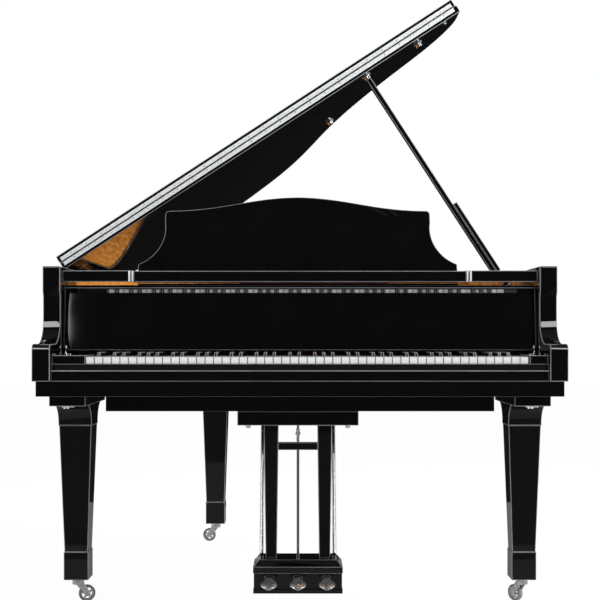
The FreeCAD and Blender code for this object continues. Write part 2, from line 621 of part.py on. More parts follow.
strut_foot = back(S.desk_line + S.desk_thickness * cosine(S.desk_lean) + S.strut_reach)
strut_sticks = []
for side in (-1, 1):
    stick = doc.addObject("Part::Box", "stick")
    bind(stick, "Length", S.stick_width)
    bind(stick, "Width", S.stick_thickness)
    bind(stick, "Height", S.strut_length)
    stick.Placement.Rotation = FreeCAD.Rotation(FreeCAD.Vector(1, 0, 0), plain(S.strut_lean))
    bind(stick, "Placement.Rotation.Angle", S.strut_lean)
    strut_sticks.append(place(stick, mid + S.stick_half_gap * side - S.stick_width / 2, strut_foot,
                              tray_top + S.stick_rest))
node(group(strut_sticks), "desk_struts")

# Lid, hinged along the top of the bass side and standing open
hinge_x = left - S.hinge_out
hinge_z = S.rim_top + S.lid_rise
rise = sine(S.lid_angle)
run_out = cosine(S.lid_angle)
AXIS = (0, -1, 0)


def on_lid(shape):
    """Place a shape drawn as if the lid were closed, with the hinge line as its zero."""
    return feature(shape, hinge_x, front, hinge_z, AXIS, S.lid_angle)


def lid_block(u0, u1, y0, y1, w0, w1):
    """A block in the closed lid's own directions."""
    return Part.makeBox(plain(u1) - plain(u0), plain(y1) - plain(y0), plain(w1) - plain(w0),
                        FreeCAD.Vector(plain(u0), plain(y0), plain(w0)))


lid_start = S.lid_setback
lid_end = case_width + S.hinge_out
main_lid = plan(-S.lid_overhang, S.lid_front, zero, S.lid_thickness)
shift = FreeCAD.Matrix()
shift.move(FreeCAD.Vector(plain(S.hinge_out), 0, 0))
main_lid = main_lid.transformGeometry(shift)
trim = lid_block(lid_start, lid_end + half, zero, S.case_length + half, -half, half)
node(on_lid(main_lid.common(trim)), "main_lid")
flap_foot = S.lid_thickness + S.lid_gap
node(on_lid(lid_block(lid_start, lid_end, S.lid_front, S.lid_front + S.flap_depth, flap_foot,
                      flap_foot + S.lid_thickness)), "front_lid")
leaf = S.leaf_thickness
leaf_start = lid_start + S.leaf_margin
leaf_end = lid_end - S.leaf_margin
fold_y = S.lid_front - leaf - S.barrel_gap
fold_z = S.lid_thickness + S.lid_gap / 2
barrel = Part.makeCylinder(plain(S.barrel_radius), plain(leaf_end - leaf_start),
                           FreeCAD.Vector(plain(leaf_start), plain(fold_y), plain(fold_z)),
                           FreeCAD.Vector(1, 0, 0))
main_leaf = lid_block(leaf_start, leaf_end, S.lid_front - leaf, S.lid_front, S.leaf_edge,
                      S.lid_thickness - S.leaf_top)
node(on_lid(main_leaf.fuse(barrel)), "main_hinge_leaf")
node(on_lid(lid_block(leaf_start, leaf_end, S.lid_front - leaf, S.lid_front, flap_foot + S.leaf_room,
                      flap_foot + S.lid_thickness - S.leaf_edge)), "front_hinge_leaf")

# Butt hinges: plate and outer knuckles on the case, middle knuckle and pin on the lid
third = S.butt_length / 3
rim_leaves = []
lid_leaves = []
BUTTS = (0.35, 0.53, 0.70)
ALONG_Y = FreeCAD.Vector(0, 1, 0)
clear = S.knuckle_gap
for share in BUTTS:
    depth = S.case_length * share
    y0 = back(depth)
    leaf_plate = box(left - S.butt_plate, left, y0, y0 + S.butt_length, S.rim_top - S.butt_width,
                     S.rim_top - S.plate_drop)
    knuckles = []
    for step in (0, 2):
        start = y0 + third * step + clear
        knuckles.append(box(left - S.knuckle_arm, left, start, start + third - clear * 2,
                            S.rim_top - S.butt_stand, hinge_z))
        knuckles.append(cylinder(hinge_x, start, hinge_z, S.butt_radius, third - clear * 2, "y"))
    bore = cylinder(hinge_x, y0 - third, hinge_z, S.butt_pin_radius + S.running_gap, third * 5, "y")
    rim_leaves.append(cut(fuse(leaf_plate, *knuckles), bore))
    middle = Part.makeCylinder(plain(S.butt_radius), plain(third - clear * 2),
                               FreeCAD.Vector(0, plain(depth + third + clear), 0), ALONG_Y)
    pin = Part.makeCylinder(plain(S.butt_pin_radius), plain(S.butt_length),
                            FreeCAD.Vector(0, plain(depth), 0), ALONG_Y)
    tongue = lid_block(zero, S.butt_width + S.tongue_extra, depth + third + clear, depth + third * 2 - clear,
                       -S.butt_plate, zero)
    lid_leaves.append(middle.fuse(pin).fuse(tongue))
node(on_lid(Part.makeCompound(lid_leaves)), "lid_hinge_lid_leaves")

# Lid prop, square to the lid, with a short prop lying along its upper side
pivot_x = mid + lined - S.prop_inset
pivot_z = S.rim_top - S.prop_drop
prop_u = (pivot_x - hinge_x) * run_out + (pivot_z - hinge_z) * rise
prop_span = (pivot_x - hinge_x) * rise - (pivot_z - hinge_z) * run_out
cup_spots = [(plain(prop_u), plain(S.prop_y)), (wide * 0.906, long * 0.331), (wide * 0.687, long * 0.582)]
cups = []
for u, v in cup_spots:
    base = plain(S.cup_base)
    deep = plain(S.cup_height)
    cups.append(Part.makeCylinder(plain(S.cup_flange), base, FreeCAD.Vector(u, v, -base)).fuse(
        Part.makeCylinder(plain(S.cup_radius), deep, FreeCAD.Vector(u, v, -deep))))
node(on_lid(Part.makeCompound(cups)), "lid_prop_cups")
prop_length = prop_span - S.cup_height - S.tip_gap


def leaning_box(along, across, wide_, deep, long_):
    """A stick square to the open lid, from a point along the prop and across it."""
    thing = doc.addObject("Part::Box", "stick")
    bind(thing, "Length", wide_)
    bind(thing, "Width", deep)
    bind(thing, "Height", long_)
    thing.Placement.Rotation = FreeCAD.Rotation(FreeCAD.Vector(*AXIS), plain(S.lid_angle))
    bind(thing, "Placement.Rotation.Angle", S.lid_angle)
    return place(thing, pivot_x - along * rise + across * run_out, back(S.prop_y) - deep / 2,
                 pivot_z + along * run_out + across * rise)


node(leaning_box(zero, -S.prop_width / 2, S.prop_width, S.prop_depth, prop_length), "prop_stick")
node(leaning_box(S.short_start, S.prop_width / 2 + S.short_gap, S.short_width, S.prop_depth, S.short_length),
     "short_prop")
stub = Part.makeCylinder(plain(S.stub_radius), plain(S.stub_length),
                         FreeCAD.Vector(plain(S.stub_start), 0, 0), FreeCAD.Vector(1, 0, 0))
stub.rotate(FreeCAD.Vector(0, 0, 0), FreeCAD.Vector(*AXIS), plain(S.lid_angle))
room = plain(S.stub_length) * 2
to_rim = Part.makeBox(room + plain(S.prop_inset), room, room, FreeCAD.Vector(-room, -room / 2, -room / 2))
prop_bracket = feature(stub.common(to_rim), pivot_x, back(S.prop_y), pivot_z)
node(group(rim_leaves + [prop_bracket]), "case_fittings")

# Legs and casters
# Name, place, depth and the way that the caster points
leg_x = half - S.leg_inset
LEGS = (("bass_front", mid - leg_x, S.leg_y, 25), ("treble_front", mid + leg_x, S.leg_y, 125),
        ("rear", rear_x, rear_leg_y, 165))
plate_foot = keybed_foot - S.leg_plate_height
shaft_top = plate_foot - S.leg_cove
cuff_top = S.caster_height + S.cuff_height
stem_top = S.caster_height + S.stem_depth
stem = S.stem_radius
forks = []
for name, x, depth, turn in LEGS:
    y = back(depth)
    wide_ = S.leg_plate_width
    deep = S.leg_plate_depth
    head = box(x - wide_ / 2, x + wide_ / 2, y - deep / 2, y + deep / 2, plate_foot, keybed_foot)
    neck = box(x - S.leg_top / 2, x + S.leg_top / 2, y - S.leg_top / 2 - S.leg_cove,
               y + S.leg_top / 2 + S.leg_cove, shaft_top, plate_foot)
    for way in (-1, 1):
        neck = cut(neck, cylinder(x - S.leg_top, y + (S.leg_top / 2 + S.leg_cove) * way, shaft_top,
                                  S.leg_cove, S.leg_top * 2, "x"))
    shaft_width = S.leg_top - S.shaft_ease
    shaft = taper(x, y, cuff_top, shaft_top, S.leg_foot, S.leg_foot, shaft_width, shaft_width)
    cuff = box(x - S.cuff_width / 2, x + S.cuff_width / 2, y - S.cuff_width / 2, y + S.cuff_width / 2,
               S.caster_height, cuff_top)
    socket = cylinder(x, y, S.caster_height - stem, stem, S.stem_depth + stem)
    node(cut(fuse(head, neck, shaft, cuff), socket), name + "_leg")
trail = plain(S.caster_trail)
wheel_width = plain(S.wheel_width)
hub_height = plain(S.wheel_radius)
wheel_top = plain(S.wheel_radius * 2 + S.crown_lift)
cheek = plain(S.fork_cheek)
cheek_gap = plain(S.wheel_width / 2 + S.fork_room)
crown_height = plain(S.caster_height - S.crown_gap) - wheel_top


def fork_arm(base):
    """One arm of a fork, narrowing from the crown down to the wheel's hub."""
    up = FreeCAD.Vector(0, base, wheel_top + plain(S.fork_bite))
    hub = FreeCAD.Vector(trail, base, hub_height)
    way = (hub - up).normalize()
    side = FreeCAD.Vector(-way.z, 0, way.x)
    root, end = plain(S.fork_root), plain(S.fork_end)
    corners = [up + side * root, hub + side * end, hub - side * end, up - side * root]
    arm = Part.Face(Part.makePolygon(corners + corners[:1])).extrude(FreeCAD.Vector(0, cheek, 0))
    return arm.fuse(Part.makeCylinder(end, cheek, hub, ALONG_Y))


for name, x, depth, turn in LEGS:
    shape = Part.makeCylinder(plain(stem - S.running_gap), plain(stem_top - S.stem_room) - wheel_top,
                              FreeCAD.Vector(0, 0, wheel_top))
    shape = shape.fuse(Part.makeCylinder(plain(S.fork_crown), crown_height, FreeCAD.Vector(0, 0, wheel_top)))
    for base in (cheek_gap, -cheek_gap - cheek):
        shape = shape.fuse(fork_arm(base))
    axle_half = cheek_gap + cheek + plain(S.axle_end)
    axle = Part.makeCylinder(plain(S.axle_radius - S.running_gap), axle_half * 2,
                             FreeCAD.Vector(trail, -axle_half, hub_height), ALONG_Y)
    node(feature(shape.fuse(axle).removeSplitter(), x, back(depth), 0, (0, 0, 1), zero + turn),
         name + "_caster_fork")
for name, x, depth, turn in LEGS:
    spot = FreeCAD.Vector(trail, -wheel_width / 2, hub_height)
    tyre = Part.makeCylinder(hub_height, wheel_width, spot, ALONG_Y)
    bore = Part.makeCylinder(plain(S.axle_radius), wheel_width, spot, ALONG_Y)
    node(feature(tyre.cut(bore), x, back(depth), 0, (0, 0, 1), zero + turn), name + "_caster_wheel")

# Pedal lyre
lyre = mid + S.lyre_x
head_top = keybed_foot - S.beam_height
head_foot = head_top - S.lyre_head_height
box_top = S.box_foot + S.box_height
box_end = S.box_front + S.box_depth
collar = box_top + S.box_cap
rod_y = S.lyre_front + S.post_side + S.rod_back
lyre_head = box(lyre - S.lyre_head_width / 2, lyre + S.lyre_head_width / 2, back(S.lyre_front - S.head_lip),
                back(S.lyre_front + S.lyre_head_depth), head_foot, head_top)
box_half = S.box_width / 2
room_half = box_half - S.box_wall
band = box_half + S.band_out
pedal_box = fuse(box(lyre - box_half, lyre + box_half, back(S.box_front), back(box_end), S.box_foot, box_top),
                 box(lyre - band, lyre + band, back(S.box_front - S.band_out), back(box_end),
                     box_top - S.band_height, box_top),
                 taper(lyre, back((S.box_front + box_end) / 2), box_top, collar, S.box_width, S.box_depth,
                       S.box_width - S.collar_step, S.box_depth - S.collar_step))
pedal_box = cut(pedal_box, box(lyre - room_half, lyre + room_half, back(S.box_front + S.box_wall),
                               back(box_end - S.box_back), S.box_foot - S.box_wall, box_top - S.box_roof))
PEDALS = (("soft", -1), ("sostenuto", 0), ("damper", 1))
pedal_foot = S.pedal_level - S.pedal_thickness / 2
pedal_top = S.pedal_level + S.pedal_thickness / 2
slot = S.pedal_width / 2 + S.slot_side
rod_bore = S.rod_radius + S.rod_gap
for name, side in PEDALS:
    x = lyre + S.pedal_gap * side
    mouth = box(x - slot, x + slot, back(S.box_front - slot), back(S.box_front + S.box_wall + slot),
                pedal_foot - S.slot_under, pedal_top + S.slot_over)
    rod_way = cylinder(x, back(rod_y), box_top - S.box_wall, rod_bore, S.box_cap + S.box_wall * 2)
    pedal_box = cut(cut(pedal_box, mouth), rod_way)
    lyre_head = cut(lyre_head, cylinder(x, back(rod_y), head_foot - slot, rod_bore,
                                        S.lyre_head_height + slot * 2))
node(lyre_head, "lyre_head")
post_x = S.post_gap / 2
post_half = S.post_side / 2
rail_front = S.lyre_front + S.rail_back
posts = [taper(lyre + post_x * side, back(S.lyre_front + post_half), collar, head_foot,
               S.post_foot, S.post_side, S.post_side, S.post_side) for side in (-1, 1)]
rail_half = post_x - S.post_foot / 2
rail = box(lyre - rail_half, lyre + rail_half, back(rail_front), back(rail_front + S.rail_depth),
           S.lyre_rail_level, S.lyre_rail_level + S.lyre_rail_height)
node(fuse(*posts, rail), "lyre_posts")
node(pedal_box, "pedal_box")
braces = []
for side in (-1, 1):
    start = FreeCAD.Vector(plain(lyre + S.brace_spread * side), plain(back(box_end - S.brace_foot)),
                           plain(collar + S.brace_bite))
    stop = FreeCAD.Vector(start.x, plain(back(S.keybed_depth - S.brace_head)),
                          plain(keybed_foot - S.brace_bite))
    braces.append(Part.makeCylinder(plain(S.brace_radius), (stop - start).Length, start, stop - start))
node(feature(Part.makeCompound(braces)), "lyre_braces")
tread_y = back(S.box_front - S.pedal_reach + S.pedal_toe / 2)
for name, side in PEDALS:
    x = lyre + S.pedal_gap * side
    lever = box(x - S.pedal_width / 2, x + S.pedal_width / 2, tread_y, back(rod_y + S.lever_end), pedal_foot,
                pedal_top)
    tread = cylinder(x, tread_y, pedal_foot, S.pedal_toe / 2, S.pedal_thickness)
    pivot = cylinder(x - S.pedal_pin_half, back(S.lyre_front + S.pedal_pin_back), S.pedal_level,
                     S.pedal_thickness / 2 - S.pin_ease, S.pedal_pin_half * 2, "x")
    node(fuse(lever, tread, pivot), name + "_pedal")
rod_foot = pedal_top + S.rod_foot_gap
for name, side in PEDALS:
    node(cylinder(lyre + S.pedal_gap * side, back(rod_y), rod_foot, S.rod_radius,
                  keybed_foot - S.rod_head_gap - rod_foot), name + "_rod")

# Dampers over the strings
heads = []
DAMPED_NOTES = 66
damper_y = plain(S.damper_line)
head_size = [plain(s) for s in (S.damper_width, S.damper_depth, S.damper_height)]
for i in range(DAMPED_NOTES):
    (x0, y0), (x1, y1) = string_line(i)
    x = x0 + (x1 - x0) * (damper_y + head_size[1] / 2 - y0) / (y1 - y0)
    radius = plain(S.wound_radius if i < BASS_NOTES else S.wire_radius)
    corner = FreeCAD.Vector(plain(left) + x - head_size[0] / 2, plain(front) + damper_y,
                            plain(plate_top + S.damper_gap) + radius * 2)
    heads.append(Part.makeBox(*head_size, corner))
node(feature(Part.makeCompound(heads)), "damper_heads")

doc.recompute()
for thing in doc.Objects:
    if "Invalid" in thing.State or "Error" in thing.State:
        raise RuntimeError("bad state: %s %s" % (thing.Name, thing.Label))
os.makedirs("parts", exist_ok=True)
for thing in NODES:
    if thing.Shape.isNull() or not thing.Shape.isValid():
        raise RuntimeError("bad shape: %s" % thing.Label)
    thing.Shape.exportStep("parts/%s.step" % thing.Label)
print("nodes", len(NODES))
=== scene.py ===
"""A black lacquered grand piano with its lid propped open, dressed round its CAD frame."""

import json
import logging
import math
from dataclasses import dataclass
from enum import Enum
from typing import Any, Iterable, Sequence

import bmesh
import bpy
from mathutils import Matrix, Vector


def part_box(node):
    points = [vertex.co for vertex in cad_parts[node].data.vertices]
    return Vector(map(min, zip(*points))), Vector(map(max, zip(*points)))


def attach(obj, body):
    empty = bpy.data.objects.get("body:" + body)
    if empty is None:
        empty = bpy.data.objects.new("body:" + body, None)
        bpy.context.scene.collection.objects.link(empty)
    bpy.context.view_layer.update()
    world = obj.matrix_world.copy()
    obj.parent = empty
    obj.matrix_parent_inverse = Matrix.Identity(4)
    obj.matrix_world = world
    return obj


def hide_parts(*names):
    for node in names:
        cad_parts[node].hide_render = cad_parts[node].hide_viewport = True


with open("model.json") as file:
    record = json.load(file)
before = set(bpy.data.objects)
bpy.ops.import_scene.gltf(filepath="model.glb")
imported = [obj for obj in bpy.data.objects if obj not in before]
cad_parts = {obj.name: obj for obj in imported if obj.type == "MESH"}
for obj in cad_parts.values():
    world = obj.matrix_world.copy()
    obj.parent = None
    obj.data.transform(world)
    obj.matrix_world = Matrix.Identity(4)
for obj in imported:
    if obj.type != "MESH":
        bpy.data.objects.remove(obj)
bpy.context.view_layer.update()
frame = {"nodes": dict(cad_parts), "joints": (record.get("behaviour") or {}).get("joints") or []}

LOG = logging.getLogger("grand_piano")
MM = 0.001
# One light or dark band of Blender's wave texture is about 1 / (6.3 * scale) metres wide
WAVE_TURN = 6.3
WELD_MM = 0.01
EDGE_STEPS = 3
EDGE_DEG = 32.0
UP = Vector((0, 0, 1))
DOWN = Vector((0, 0, -1))
Point = tuple[float, float, float]


def linear(code: str) -> tuple[float, float, float, float]:
    """Turn an sRGB hex colour into linear light.

    Args:
        code: Six hex digits, red first.

    Returns:
        Linear red, green, blue and an alpha of one.
    """
    shades = [int(code[i:i + 2], 16) / 255 for i in (0, 2, 4)]
    red, green, blue = (s / 12.92 if s <= 0.04045 else ((s + 0.055) / 1.055) ** 2.4 for s in shades)
    return red, green, blue, 1.0


def add_node(tree: bpy.types.NodeTree, kind: str, values: dict[str, Any] | None = None,
             **settings: Any) -> Any:
    """Add one node with its settings and links.

    Args:
        tree: Node tree that takes the node.
        kind: Blender's name of the node type.
        values: Input name to a plain value, or to the output socket that feeds it.
        settings: Attributes of the node itself.

    Returns:
        The new node.
    """
    node = tree.nodes.new(kind)
    for name, value in settings.items():
        setattr(node, name, value)
    for name, value in (values or {}).items():
        socket = node.inputs[name]
        if isinstance(value, bpy.types.NodeSocket):
            tree.links.new(value, socket)
        else:
            socket.default_value = value
    return node


def set_ramp(node: Any, stops: Sequence[tuple[float, str]]) -> Any:
    """Give a colour ramp its stops.

    Args:
        node: The ramp's node.
        stops: Place from 0 to 1 and sRGB hex colour of each stop.

    Returns:
        Its colour output.
    """
    ramp = node.color_ramp
    while len(ramp.elements) < len(stops):
        ramp.elements.new(0.5)
    for element, (place, code) in zip(ramp.elements, stops):
        element.position = place
        element.color = linear(code)
    return node.outputs["Color"]


class Axis(Enum):
    """Direction that a grain or winding runs in."""

    X = (1.0, 0.0, 0.0)
    Y = (0.0, 1.0, 0.0)
    Z = (0.0, 0.0, 1.0)


@dataclass(frozen=True)
class Finish:
    """A surface: what the material is and how it was made."""

    name: str
    colour: str
    roughness: float
    metallic: float = 0.0
    ior: float = 1.5
    coat: float = 0.0
    sheen: float = 0.0
    edge: "Finish | None" = None

    def build(self) -> bpy.types.Material:
        """Make the material once.

        Returns:
            The new material, or the one that exists.
        """
        found = bpy.data.materials.get(self.name)
        if found:
            return found
        material = bpy.data.materials.new(self.name)
        material.use_nodes = True
        tree = material.node_tree
        tree.nodes.clear()
        place = add_node(tree, "ShaderNodeTexCoord").outputs["Object"]
        values = {"Metallic": self.metallic, "Coat Weight": self.coat, "Coat Roughness": 0.03,
                  "Sheen Weight": self.sheen}
        if self.metallic < 0.5:
            values["IOR"] = self.ior
        values.update(self.pattern(tree, place))
        shader = add_node(tree, "ShaderNodeBsdfPrincipled", values)
        add_node(tree, "ShaderNodeOutputMaterial", {"Surface": shader.outputs["BSDF"]})
        material.diffuse_color = linear(self.colour)
        return material

    def pattern(self, tree: bpy.types.NodeTree, place: Any) -> dict[str, Any]:
        """Give the shader inputs that vary over the surface.

        Args:
            tree: Material's node tree.
            place: Socket with the position in metres.

        Returns:
            Shader input name to socket or value.
        """
        raise NotImplementedError

    def cloud(self, tree: bpy.types.NodeTree, place: Any, size_mm: float, detail: float = 3.0) -> Any:
        """Return a noise value socket with blotches of a real size in millimetres."""
        return add_node(tree, "ShaderNodeTexNoise",
                        {"Vector": place, "Scale": 1000.0 / size_mm, "Detail": detail}).outputs["Fac"]

    def spread(self, tree: bpy.types.NodeTree, value: Any, low: float, high: float) -> Any:
        """Return a value socket with noise mapped onto a range."""
        return add_node(tree, "ShaderNodeMapRange",
                        {"Value": value, "From Min": 0.3, "From Max": 0.7, "To Min": low,
                         "To Max": high}).outputs["Result"]

    def bump(self, tree: bpy.types.NodeTree, value: Any, height_mm: float, strength: float = 1.0) -> Any:
        """Return a normal socket raised by a height in millimetres."""
        return add_node(tree, "ShaderNodeBump", {"Height": value, "Distance": height_mm * MM,
                                                 "Strength": strength}).outputs["Normal"]


@dataclass(frozen=True)
class Lacquer(Finish):
    """Sprayed polyester rubbed to a mirror: deep black with a faint ripple and polishing haze."""

    ripple_mm: float = 55.0
    haze_mm: float = 90.0
    deep: str = "070708"

    def pattern(self, tree: bpy.types.NodeTree, place: Any) -> dict[str, Any]:
        """Ripple the coat a little and vary its haze.

        Args:
            tree: Material's node tree.
            place: Socket with the position in metres.

        Returns:
            Shader input name to socket or value.
        """
        ripple = self.cloud(tree, place, self.ripple_mm, 0.0)
        haze = self.cloud(tree, place, self.haze_mm)
        tint = add_node(tree, "ShaderNodeValToRGB", {"Fac": haze})
        return {"Base Color": set_ramp(tint, ((0.3, self.colour), (0.8, self.deep))),
                "Roughness": self.spread(tree, haze, self.roughness * 0.7, self.roughness * 1.4),
                "Normal": self.bump(tree, ripple, 0.02, 0.25)}


@dataclass(frozen=True)
class Veneer(Finish):
    """Sliced and varnished veneer: figure across the grain under a clear coat."""

    pale: str = "E09A4A"
    dark: str = "A8591B"
    figure_mm: float = 26.0
    fleck_mm: float = 7.0
    grain: Axis = Axis.Y
    curl: float = 0.35
    draw_out: float = 0.86

    def pattern(self, tree: bpy.types.NodeTree, place: Any) -> dict[str, Any]:
        """Draw long grain, short curls across it, and small flecks.

        Args:
            tree: Material's node tree.
            place: Socket with the position in metres.

        Returns:
            Shader input name to socket or value.
        """
        along = Vector(self.grain.value)
        stretch = Vector((1.0, 1.0, 1.0)) - along * self.draw_out
        grain_place = add_node(tree, "ShaderNodeMapping",
                               {"Vector": place, "Scale": stretch}).outputs["Vector"]
        grain = self.cloud(tree, grain_place, self.fleck_mm, 6.0)
        waves = add_node(tree, "ShaderNodeTexWave",
                         {"Vector": place, "Scale": 1000.0 / self.figure_mm / WAVE_TURN, "Distortion": 7.0,
                          "Detail": 3.0, "Detail Scale": 1.4},
                         bands_direction=self.grain.name).outputs["Fac"]
        mixed = add_node(tree, "ShaderNodeMix",
                         {"Factor": self.curl, "A": grain, "B": waves}).outputs["Result"]
        colour = add_node(tree, "ShaderNodeValToRGB", {"Fac": mixed})
        return {"Base Color": set_ramp(colour, ((0.25, self.dark), (0.5, self.colour), (0.78, self.pale))),
                "Roughness": self.spread(tree, grain, self.roughness * 0.8, self.roughness * 1.3),
                "Normal": self.bump(tree, grain, 0.05, 0.3)}


@dataclass(frozen=True)
class Metal(Finish):
    """Metal with a polish or a cast skin, slightly uneven in gloss."""

    grit_mm: float = 12.0
    grit_height_mm: float = 0.01
    shade: str = "B5B6B8"

    def pattern(self, tree: bpy.types.NodeTree, place: Any) -> dict[str, Any]:
        """Vary tone, gloss and a fine skin.

        Args:
            tree: Material's node tree.
            place: Socket with the position in metres.

        Returns:
            Shader input name to socket or value.
        """
        grit = self.cloud(tree, place, self.grit_mm, 4.0)
        tone = add_node(tree, "ShaderNodeValToRGB", {"Fac": grit})
        return {"Base Color": set_ramp(tone, ((0.3, self.shade), (0.65, self.colour))),
                "Roughness": self.spread(tree, grit, self.roughness * 0.75, self.roughness * 1.35),
                "Normal": self.bump(tree, grit, self.grit_height_mm, 0.3)}


@dataclass(frozen=True)
class Wound(Metal):
    """Steel core wound with soft wire, as fine rings along the string."""

    ring_mm: float = 6.0

    def pattern(self, tree: bpy.types.NodeTree, place: Any) -> dict[str, Any]:
        """Ring the string; the real 1 mm winding is drawn coarser so that it shows.

        Args:
            tree: Material's node tree.
            place: Socket with the position in metres.

        Returns:
            Shader input name to socket or value.
        """
        made = super().pattern(tree, place)
        rings = add_node(tree, "ShaderNodeTexWave",
                         {"Vector": place, "Scale": 1000.0 / self.ring_mm / WAVE_TURN},
                         bands_direction="Y").outputs["Fac"]
        made["Normal"] = self.bump(tree, rings, 0.4, 0.7)
        return made


@dataclass(frozen=True)
class Moulded(Finish):
    """Cast or moulded plastic and rubber: even colour with a faint cloud and soft skin."""

    cloud_mm: float = 30.0
    skin_mm: float = 3.0
    shade: str = "E4E0D6"

    def pattern(self, tree: bpy.types.NodeTree, place: Any) -> dict[str, Any]:
        """Cloud the colour faintly and break up the gloss.

        Args:
            tree: Material's node tree.
            place: Socket with the position in metres.

        Returns:
            Shader input name to socket or value.
        """
        cloud = self.cloud(tree, place, self.cloud_mm)
        skin = self.cloud(tree, place, self.skin_mm, 2.0)
        tone = add_node(tree, "ShaderNodeValToRGB", {"Fac": cloud})
        return {"Base Color": set_ramp(tone, ((0.3, self.shade), (0.7, self.colour))),
                "Roughness": self.spread(tree, cloud, self.roughness * 0.85, self.roughness * 1.2),
                "Normal": self.bump(tree, skin, 0.02, 0.2)}


@dataclass(frozen=True)
class Felt(Finish):
    """Pressed wool: matt, with short fibres standing off the surface."""

    fibre_mm: float = 1.6
    shade: str = "5E0D0C"

    def pattern(self, tree: bpy.types.NodeTree, place: Any) -> dict[str, Any]:
        """Speckle the colour with fibres and rough the surface.

        Args:
            tree: Material's node tree.
            place: Socket with the position in metres.

        Returns:
            Shader input name to socket or value.
        """
        fibre = self.cloud(tree, place, self.fibre_mm, 5.0)
        tone = add_node(tree, "ShaderNodeValToRGB", {"Fac": fibre})
        return {"Base Color": set_ramp(tone, ((0.3, self.shade), (0.7, self.colour))),
                "Roughness": self.roughness,
                "Normal": self.bump(tree, fibre, 0.5, 0.8)}


# Lacquer edges: grey painted onto the bevels as a highlight, so each corner of the case shows as a pale line
LACQUER_EDGE = Lacquer("polyester_lacquer_edge_painted_highlight", "85868A", 0.3, deep="626367")
# Piano black, polished to a mirror: it shows little but what it reflects
LACQUER = Lacquer("polyester_lacquer_black_polished", "040404", 0.04, edge=LACQUER_EDGE)
# Stained wood under a thin satin coat: a soft, wide sheen
SATIN_BLACK = Lacquer("stained_hardwood_black_satin", "0A0A0A", 0.34)
# Rim lining: warm orange with short dark flecks, glossy
RIM_VENEER = Veneer("maple_veneer_figured_gloss", "E8963E", 0.16, coat=0.5, pale="FFC678", dark="A0560F",
                    figure_mm=14.0, fleck_mm=11.0, curl=0.1, draw_out=0.5)
# Case timber: pale, planed, no shine
HARDWOOD = Veneer("beech_planed", "B98B57", 0.5, pale="CDA673", dark="94693B", figure_mm=60.0)
# Soundboard: straight fine grain, amber under varnish
SPRUCE = Veneer("spruce_quarter_sawn_varnished", "C79A55", 0.3, coat=0.3, pale="DDB877", dark="A97C3B",
                figure_mm=9.0, grain=Axis.X)
# Iron plate: bronze paint over a grainy casting
BRONZED_IRON = Metal("cast_iron_bronze_painted", "B8924C", 0.36, 0.75, grit_mm=2.5, grit_height_mm=0.12,
                     shade="93713A")
# Plain strings and pins: cool bright wire
WIRE_STEEL = Metal("spring_steel_drawn", "C9CBCD", 0.2, 1.0)
# Bass strings: ringed, reddish
COPPER_WOUND = Wound("copper_wound_on_steel", "B8754A", 0.3, 1.0, shade="8E5430")
# Small fittings: a clean mirror
CHROME = Metal("steel_chromium_plated", "E3E5E7", 0.07, 1.0, shade="CFD1D4", grit_height_mm=0.004)
# Strip over the keys: a dimmer mirror that shows them as dashes
MIRROR_STRIP = Metal("steel_polished_bare", "C6C8CA", 0.03, 1.0, shade="BCBEC0", grit_height_mm=0.002)
# Pedals: bright plate, hand-buffed, with soft grey between the highlights
PEDAL_PLATE = Metal("steel_nickel_plated_buffed", "DDDFE1", 0.12, 0.86, grit_mm=9.0, shade="C6C8CB",
                    grit_height_mm=0.004)
# Hinge leaves and plates: bright and even, hardly mirroring
NICKEL = Metal("steel_nickel_plated_satin", "EEF0F1", 0.36, 0.2, grit_mm=5.0, shade="D8DBDD")
# Hinge knuckles: nearly black with a dull shine, a painted shade for the dark gap between the two hinge
# leaves
KNUCKLE_PAINTED_SHADE = Metal("steel_knuckle_painted_shade", "1D1E20", 0.34, 0.6, grit_mm=5.0, shade="121314")
# Casters: grey metal with soft highlights
ZINC = Metal("zinc_die_cast_plated", "DADBDC", 0.22, 0.7, grit_mm=6.0, shade="B8B9BA")
# White keys: cool white, polished; their eased edges are painted grey as the shade in the gaps between keys
KEY_WHITE = Moulded("acrylic_key_cover_polished", "EDEFEF", 0.12, ior=1.49, shade="E3E5E4",
                    edge=Moulded("acrylic_key_edge_painted_shade", "A6A8A9", 0.3, ior=1.49, shade="98999B"))
# Black keys: dark grey fronts, with a painted highlight in pale grey along the rounded tops
KEY_BLACK = Moulded("phenolic_key_satin", "29292B", 0.2, shade="1D1D1F",
                    edge=Moulded("phenolic_key_edge_painted_highlight", "8B8C8F", 0.35, shade="75767A"))
# Caster tyres: matt mid grey
TYRE_RUBBER = Moulded("rubber_moulded_grey", "747577", 0.5, shade="5A5B5D")
# Stop rail: deep red wool
RED_FELT = Felt("wool_felt_red", "A3201B", 0.95, sheen=0.5)


